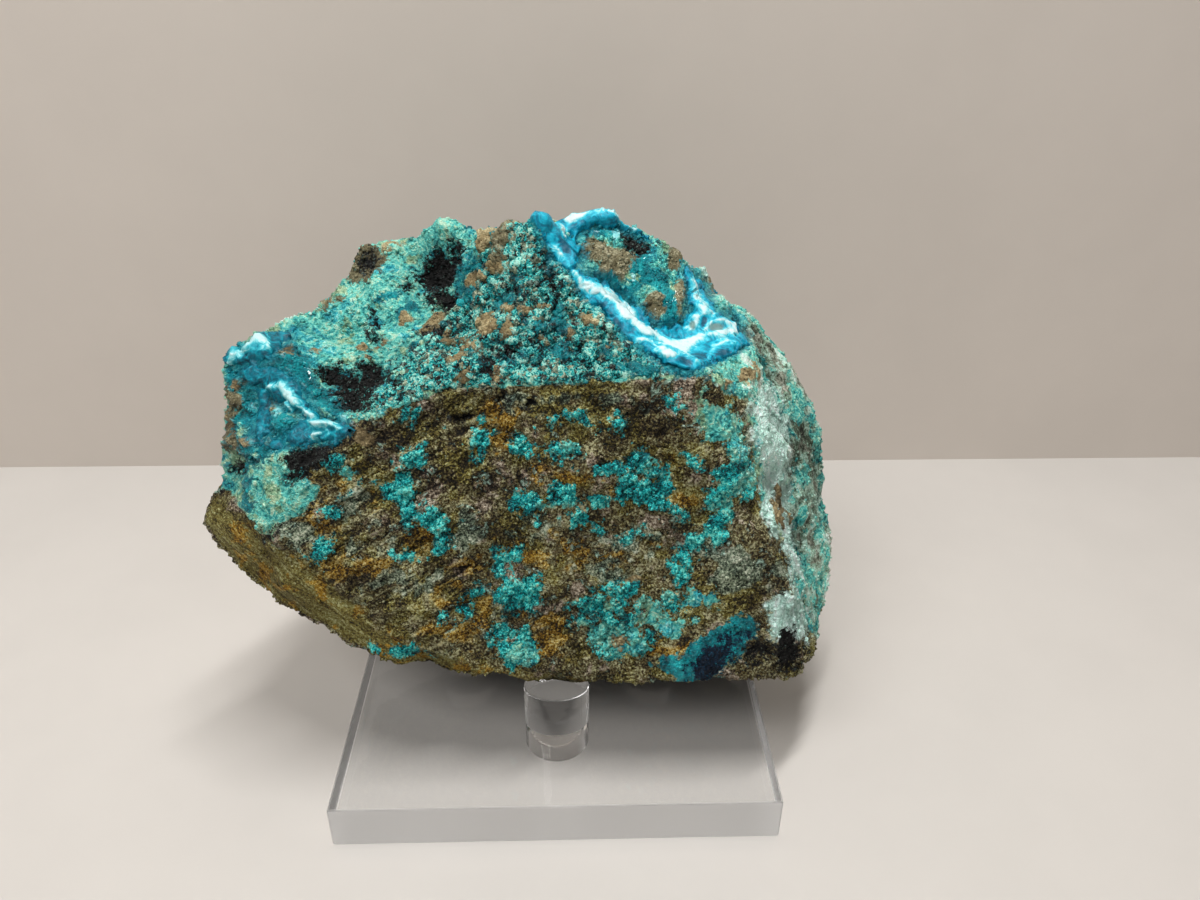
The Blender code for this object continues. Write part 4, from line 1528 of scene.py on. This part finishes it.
def peg_mesh(name, bearing):
    """A peg: a round rod from inside the base up to a slanted top with a rounded rim.

    Its rings are circles around the peg's axis. The top's height is its middle height plus the slope times
    the distance outward.
    """
    turn = np.arange(PEG_SIDES) * 2 * math.pi / PEG_SIDES
    outward = level_direction(bearing)
    around = np.stack([np.cos(turn), np.sin(turn)], axis=1)
    foot = around * PEG_RADIUS + outward * PEG_CIRCLE_RADIUS
    rings = [np.column_stack([foot, np.full(PEG_SIDES, PEG_ROOT)])]
    for inset, drop in PEG_RIM:
        place = around * (PEG_RADIUS - inset)
        height = PEG_MIDDLE_TOP + (place @ outward) * PEG_SLOPE - drop
        rings.append(np.column_stack([place + outward * PEG_CIRCLE_RADIUS, height]))
    index = np.arange(len(rings) * PEG_SIDES).reshape(len(rings), PEG_SIDES)
    following = np.roll(index, -1, axis=1)
    sides = np.stack([index[:-1], following[:-1], following[1:], index[1:]], axis=-1).reshape(-1, 4)
    mesh = bpy.data.meshes.new(name)
    ends = [index[0][::-1].tolist(), index[-1].tolist()]
    mesh.from_pydata((np.concatenate(rings) * MM).tolist(), [], sides.tolist() + ends)
    return mesh


def check_closed(mesh):
    """Raises an error unless every edge of the mesh lies between exactly two faces."""
    edges = np.empty(len(mesh.loops), dtype=np.int32)
    mesh.loops.foreach_get("edge_index", edges)
    if (np.bincount(edges, minlength=len(mesh.edges)) != 2).any():
        raise RuntimeError(f"{mesh.name} isn't one closed surface")


# --- Settings ---
def length_property(name, description, default):
    """A small length, given in millimetres and kept in metres."""
    return FloatProperty(
        name=name, description=description, default=default * MM, min=0.0, precision=5, unit="LENGTH"
    )


def color_property(name, description, color):
    """A colour, given as a display colour from 0 to 255."""
    shade = linear(*color)[:3]
    return FloatVectorProperty(
        name=name, description=description, default=shade, min=0.0, max=1.0, size=3, subtype="COLOR"
    )


def power_property(name, description, default):
    """The power of a light, in watts."""
    return FloatProperty(name=name, description=description, default=default, min=0.0, unit="POWER")


def share_property(name, description, default, lowest=0.0, highest=1.0):
    """A share of something, 1 being all of it."""
    return FloatProperty(
        name=name, description=description, default=default, min=lowest, max=highest, subtype="FACTOR"
    )


SQUARES = 128
GRAIN_SHARE = 1.0


class SPECIMEN_PG_stone(bpy.types.PropertyGroup):
    """Sizes of the stone's surface"""

    squares: IntProperty(
        name="Squares", description="Squares along a side of its grid", default=SQUARES, min=8, max=180
    )
    relief: share_property("Relief", "Share of the fine relief's full height", 1.0, highest=2.0)
    grains: share_property("Grains", "Share of the full number of grains", GRAIN_SHARE, highest=1.5)
    grain_size: share_property("Grain size", "Share of the grains' full size", 1.0, 0.2, 3.0)


class SPECIMEN_PG_sheets(bpy.types.PropertyGroup):
    """Sizes of the glassy vein and drapes"""

    thickness: length_property("Thickness", "Thickness of the glassy sheets", 1.1)
    bank: length_property("Bank", "Height of the sheets over the stone", 0.5)
    blue_vein_crest: length_property("Vein crest", "Height of the white bands over the vein", 0.35)
    glassy_drapes_crest: length_property("Drape crest", "Height of the pale crests over the drapes", 0.8)


class SPECIMEN_PG_stand(bpy.types.PropertyGroup):
    """Finish of the acrylic stand"""

    refraction: FloatProperty(
        name="Refraction", description="Index of refraction of the acrylic", default=1.49, min=1.0, max=2.0
    )
    sawn_roughness: share_property("Sawn roughness", "Roughness of the base's sawn sides", 0.55)
    clearness: share_property("Clearness", "Share of light that shines through the acrylic", 0.99)


class SPECIMEN_PG_stage(bpy.types.PropertyGroup):
    """Colours and lights of the stage"""

    shelf: color_property("Shelf", "Colour of the shelf", (208, 204, 199))
    wall: color_property("Wall", "Colour of the wall", (214, 205, 196))
    top_power: power_property("Top light", "Power of the light strip overhead", 2.65)
    side_power: power_property("Side light", "Power of the light on the left", 1.75)
    fill_power: power_property("Fill light", "Power of the soft light in front", 1.9)
    room: share_property("Room", "Strength of the light from all round", 0.09)


def shade_properties():
    """A colour property for each shade of each mineral, from dark to light."""
    return {
        f"{name}_{number}": color_property(f"{name} {number}", f"Shade {number} of {name}", color)
        for name, colors in SHADES.items()
        for number, color in enumerate(colors, 1)
    }


class SPECIMEN_PG_shades(bpy.types.PropertyGroup):
    """The shades of every mineral"""

    __annotations__ = shade_properties()


class SPECIMEN_PG_settings(bpy.types.PropertyGroup):
    """All settings of the specimen"""

    stone: PointerProperty(type=SPECIMEN_PG_stone)
    sheets: PointerProperty(type=SPECIMEN_PG_sheets)
    stand: PointerProperty(type=SPECIMEN_PG_stand)
    stage: PointerProperty(type=SPECIMEN_PG_stage)
    shades: PointerProperty(type=SPECIMEN_PG_shades)


# --- Operators ---
STONE_NAME = "chrysocolla_stone"


class SPECIMEN_OT_stone(bpy.types.Operator):
    """Make the rough stone"""

    bl_idname = "specimen.stone"
    bl_label = "Stone"

    def execute(self, context):
        settings = context.scene.specimen.stone
        directions, faces = sphere_grid(settings.squares, GRID_LEAN)
        points, fields = stone_points(directions, settings.relief)
        fields["grain"] = np.full(len(points), 0.5)
        mesh = make_mesh(STONE_NAME, clear_pegs(points), faces, fields)
        check_closed(mesh)
        stone = add_piece(STONE_NAME, mesh, stone_material())
        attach(stone, "root")
        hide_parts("stone")
        return {"FINISHED"}


class SPECIMEN_OT_grains(bpy.types.Operator):
    """Sow the small crystals over the stone"""

    bl_idname = "specimen.grains"
    bl_label = "Grains"

    def execute(self, context):
        settings = context.scene.specimen.stone
        stone = bpy.data.objects.get(STONE_NAME)
        if stone is None:
            raise RuntimeError("The stone comes before its grains")
        points, faces, fields = read_mesh(stone.data)
        weights = grain_weights(points, fields)
        for name, (count, smallest, largest, seed) in GRAIN_LAYERS.items():
            count = int(count * settings.grains)
            sizes = smallest * settings.grain_size, largest * settings.grain_size
            grains = sow_grains((points, faces, fields), weights[name], count, sizes, seed)
            piece = add_piece(name, make_mesh(name, *grains, smooth=False), stone.data.materials[0])
            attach(piece, "root")
        return {"FINISHED"}


class SPECIMEN_OT_sheets(bpy.types.Operator):
    """Make the glassy blue vein and the glassy drapes on the left knob"""

    bl_idname = "specimen.sheets"
    bl_label = "Glassy vein and drapes"

    def execute(self, context):
        settings = context.scene.specimen.sheets
        bank = settings.bank / MM
        for name, (grid, paths, pale_paths, wander, shades) in SHEETS.items():
            crest = getattr(settings, name + "_crest") / MM
            sheet = glassy_sheet(grid, paths, pale_paths, wander, bank, crest)
            piece = add_piece(name, make_mesh(name, *sheet), glassy_material(name, *shades))
            wall = piece.modifiers.new("thickness", "SOLIDIFY")
            wall.thickness = settings.thickness
            wall.offset = -1
            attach(piece, "root")
        return {"FINISHED"}


class SPECIMEN_OT_stand(bpy.types.Operator):
    """Make the acrylic base and its pegs, glued into one piece"""

    bl_idname = "specimen.stand"
    bl_label = "Acrylic stand"

    def execute(self, context):
        acrylic = acrylic_material()
        stand = add_piece("acrylic_stand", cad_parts["stand_base"].data.copy(), acrylic)
        meshes = [peg_mesh(name + "_tool", bearing) for name, bearing in PEGS.items()]
        pegs = [add_piece(mesh.name, mesh, acrylic) for mesh in meshes]
        for peg in pegs:
            glue = stand.modifiers.new(peg.name, "BOOLEAN")
            glue.operation = "UNION"
            glue.solver = "EXACT"
            glue.object = peg
        graph = context.evaluated_depsgraph_get()
        glued = bpy.data.meshes.new_from_object(stand.evaluated_get(graph))
        stand.modifiers.clear()
        stand.data = glued
        glued.materials.clear()
        glued.materials.append(acrylic)
        for peg in pegs:
            bpy.data.objects.remove(peg)
        check_closed(glued)
        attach(stand, "root")
        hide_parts("stand_base", *PEGS)
        return {"FINISHED"}


# --- The stage ---
STAGE_REACH = 3.0
WALL_PLACE = 0.1
WALL_HEIGHT = 2.0
SHELF_DROP = 0.0002
LIGHT_COLOR = (1.0, 0.985, 0.965)
ROOM_COLOR = (1.0, 0.99, 0.975, 1.0)
# name of the power setting: place, target and sides in metres
LIGHTS = {
    "top_power": ((0.03, -0.03, 0.66), (0, 0, 0), (0.3, 0.035)),
    "side_power": ((-0.26, -0.3, 0.56), (0, 0, 0.04), (0.3, 0.2)),
    "fill_power": ((0.55, -1.0, 0.62), (0, 0, 0.05), (0.8, 0.8)),
}


def plain_material(name, color, roughness, one_sided=False):
    """A plain matt colour with the faintest unevenness. A one-sided sheet is seen through from behind."""
    material, shader, board = new_material(name)
    dark = (*(0.97 * channel for channel in color), 1.0)
    mottled = board.mix(uneven(board, 40.0, 0.0, 1.0), dark, (*color, 1.0))
    board.feed(shader.inputs, {"Base Color": mottled, "Roughness": roughness})
    if one_sided:
        behind = board.add("ShaderNodeNewGeometry").outputs["Backfacing"]
        sheer = board.add("ShaderNodeBsdfTransparent").outputs[0]
        board.show(board.mix_shaders(behind, shader.outputs[0], sheer))
    return material


def add_panel(name, corners, material):
    """One flat four-cornered sheet of the stage."""
    mesh = bpy.data.meshes.new(name)
    mesh.from_pydata(corners, [], [(0, 1, 2, 3)])
    panel = add_piece(name, mesh, material)
    return panel


def add_light(name, place, target, sides, power):
    """A soft rectangular light that faces a target."""
    data = bpy.data.lights.new(name, "AREA")
    data.shape = "RECTANGLE"
    data.size, data.size_y = sides
    data.energy = power
    data.color = LIGHT_COLOR
    light = bpy.data.objects.new(name, data)
    light.location = place
    light.rotation_euler = (Vector(target) - Vector(place)).to_track_quat("-Z", "Y").to_euler()
    bpy.context.scene.collection.objects.link(light)


def add_room(strength):
    """Faint light from all round."""
    world = bpy.data.worlds.new("soft_room")
    world.use_nodes = True
    background = world.node_tree.nodes["Background"]
    Board(world.node_tree).feed(background.inputs, {"Color": ROOM_COLOR, "Strength": strength})
    bpy.context.scene.world = world


def add_camera():
    """The camera at the viewpoint."""
    data = bpy.data.cameras.new("viewpoint")
    data.sensor_width = SENSOR_MM
    data.lens = FOCAL_LENGTH / FRAME_WIDTH * SENSOR_MM
    data.clip_start = 0.01
    camera = bpy.data.objects.new("viewpoint", data)
    right, down, forward = VIEW_AXES.T
    turn = Matrix(np.stack([right, -down, -forward], axis=1).tolist()).to_4x4()
    camera.matrix_world = Matrix.Translation(EYE * MM) @ turn
    bpy.context.scene.collection.objects.link(camera)
    bpy.context.scene.camera = camera


class SPECIMEN_OT_stage(bpy.types.Operator):
    """Make the shelf, the wall, the lights and the camera"""

    bl_idname = "specimen.stage"
    bl_label = "Stage"

    def execute(self, context):
        settings = context.scene.specimen.stage
        far, low, back, high = STAGE_REACH, -SHELF_DROP, WALL_PLACE, WALL_HEIGHT
        shelf_corners = [(-far, -far, low), (far, -far, low), (far, far, low), (-far, far, low)]
        wall_corners = [(-far, back, low), (far, back, low), (far, back, high), (-far, back, high)]
        add_panel("shelf", shelf_corners, plain_material("pale_shelf", settings.shelf, 0.55))
        add_panel("wall", wall_corners, plain_material("pale_wall", settings.wall, 0.8, one_sided=True))
        for name, (place, target, sides) in LIGHTS.items():
            add_light(name, place, target, sides, getattr(settings, name))
        add_room(settings.room)
        add_camera()
        context.scene.view_settings.view_transform = "Standard"
        context.scene.cycles.glossy_bounces = 12
        context.scene.cycles.diffuse_bounces = 3
        context.scene.cycles.caustics_refractive = False
        return {"FINISHED"}


# --- Panel and registration ---
OPERATORS = (
    SPECIMEN_OT_stone,
    SPECIMEN_OT_grains,
    SPECIMEN_OT_sheets,
    SPECIMEN_OT_stand,
    SPECIMEN_OT_stage,
)
GROUPS = (
    SPECIMEN_PG_stone,
    SPECIMEN_PG_sheets,
    SPECIMEN_PG_stand,
    SPECIMEN_PG_stage,
    SPECIMEN_PG_shades,
    SPECIMEN_PG_settings,
)


class SPECIMEN_PT_panel(bpy.types.Panel):
    """Lists the specimen's pieces and settings"""

    bl_label = "Chrysocolla Specimen"
    bl_space_type = "VIEW_3D"
    bl_region_type = "UI"
    bl_category = "Specimen"

    def draw(self, context):
        settings = context.scene.specimen
        for operator in OPERATORS:
            self.layout.operator(operator.bl_idname)
        for group in (settings.stone, settings.sheets, settings.stand, settings.stage):
            box = self.layout.box()
            for name in group.__annotations__:
                box.prop(group, name)
        for mineral, colors in SHADES.items():
            row = self.layout.row(align=True)
            row.label(text=mineral)
            for number in range(1, len(colors) + 1):
                row.prop(settings.shades, f"{mineral}_{number}", text="")


CLASSES = (*GROUPS, *OPERATORS, SPECIMEN_PT_panel)


def register():
    for cls in CLASSES:
        bpy.utils.register_class(cls)
    bpy.types.Scene.specimen = PointerProperty(type=SPECIMEN_PG_settings)


def unregister():
    del bpy.types.Scene.specimen
    for cls in reversed(CLASSES):
        bpy.utils.unregister_class(cls)


def main():
    """Makes every piece in order."""
    register()
    bpy.ops.specimen.stone()
    bpy.ops.specimen.grains()
    bpy.ops.specimen.sheets()
    bpy.ops.specimen.stand()
    bpy.ops.specimen.stage()


if __name__ == "__main__":
    main()
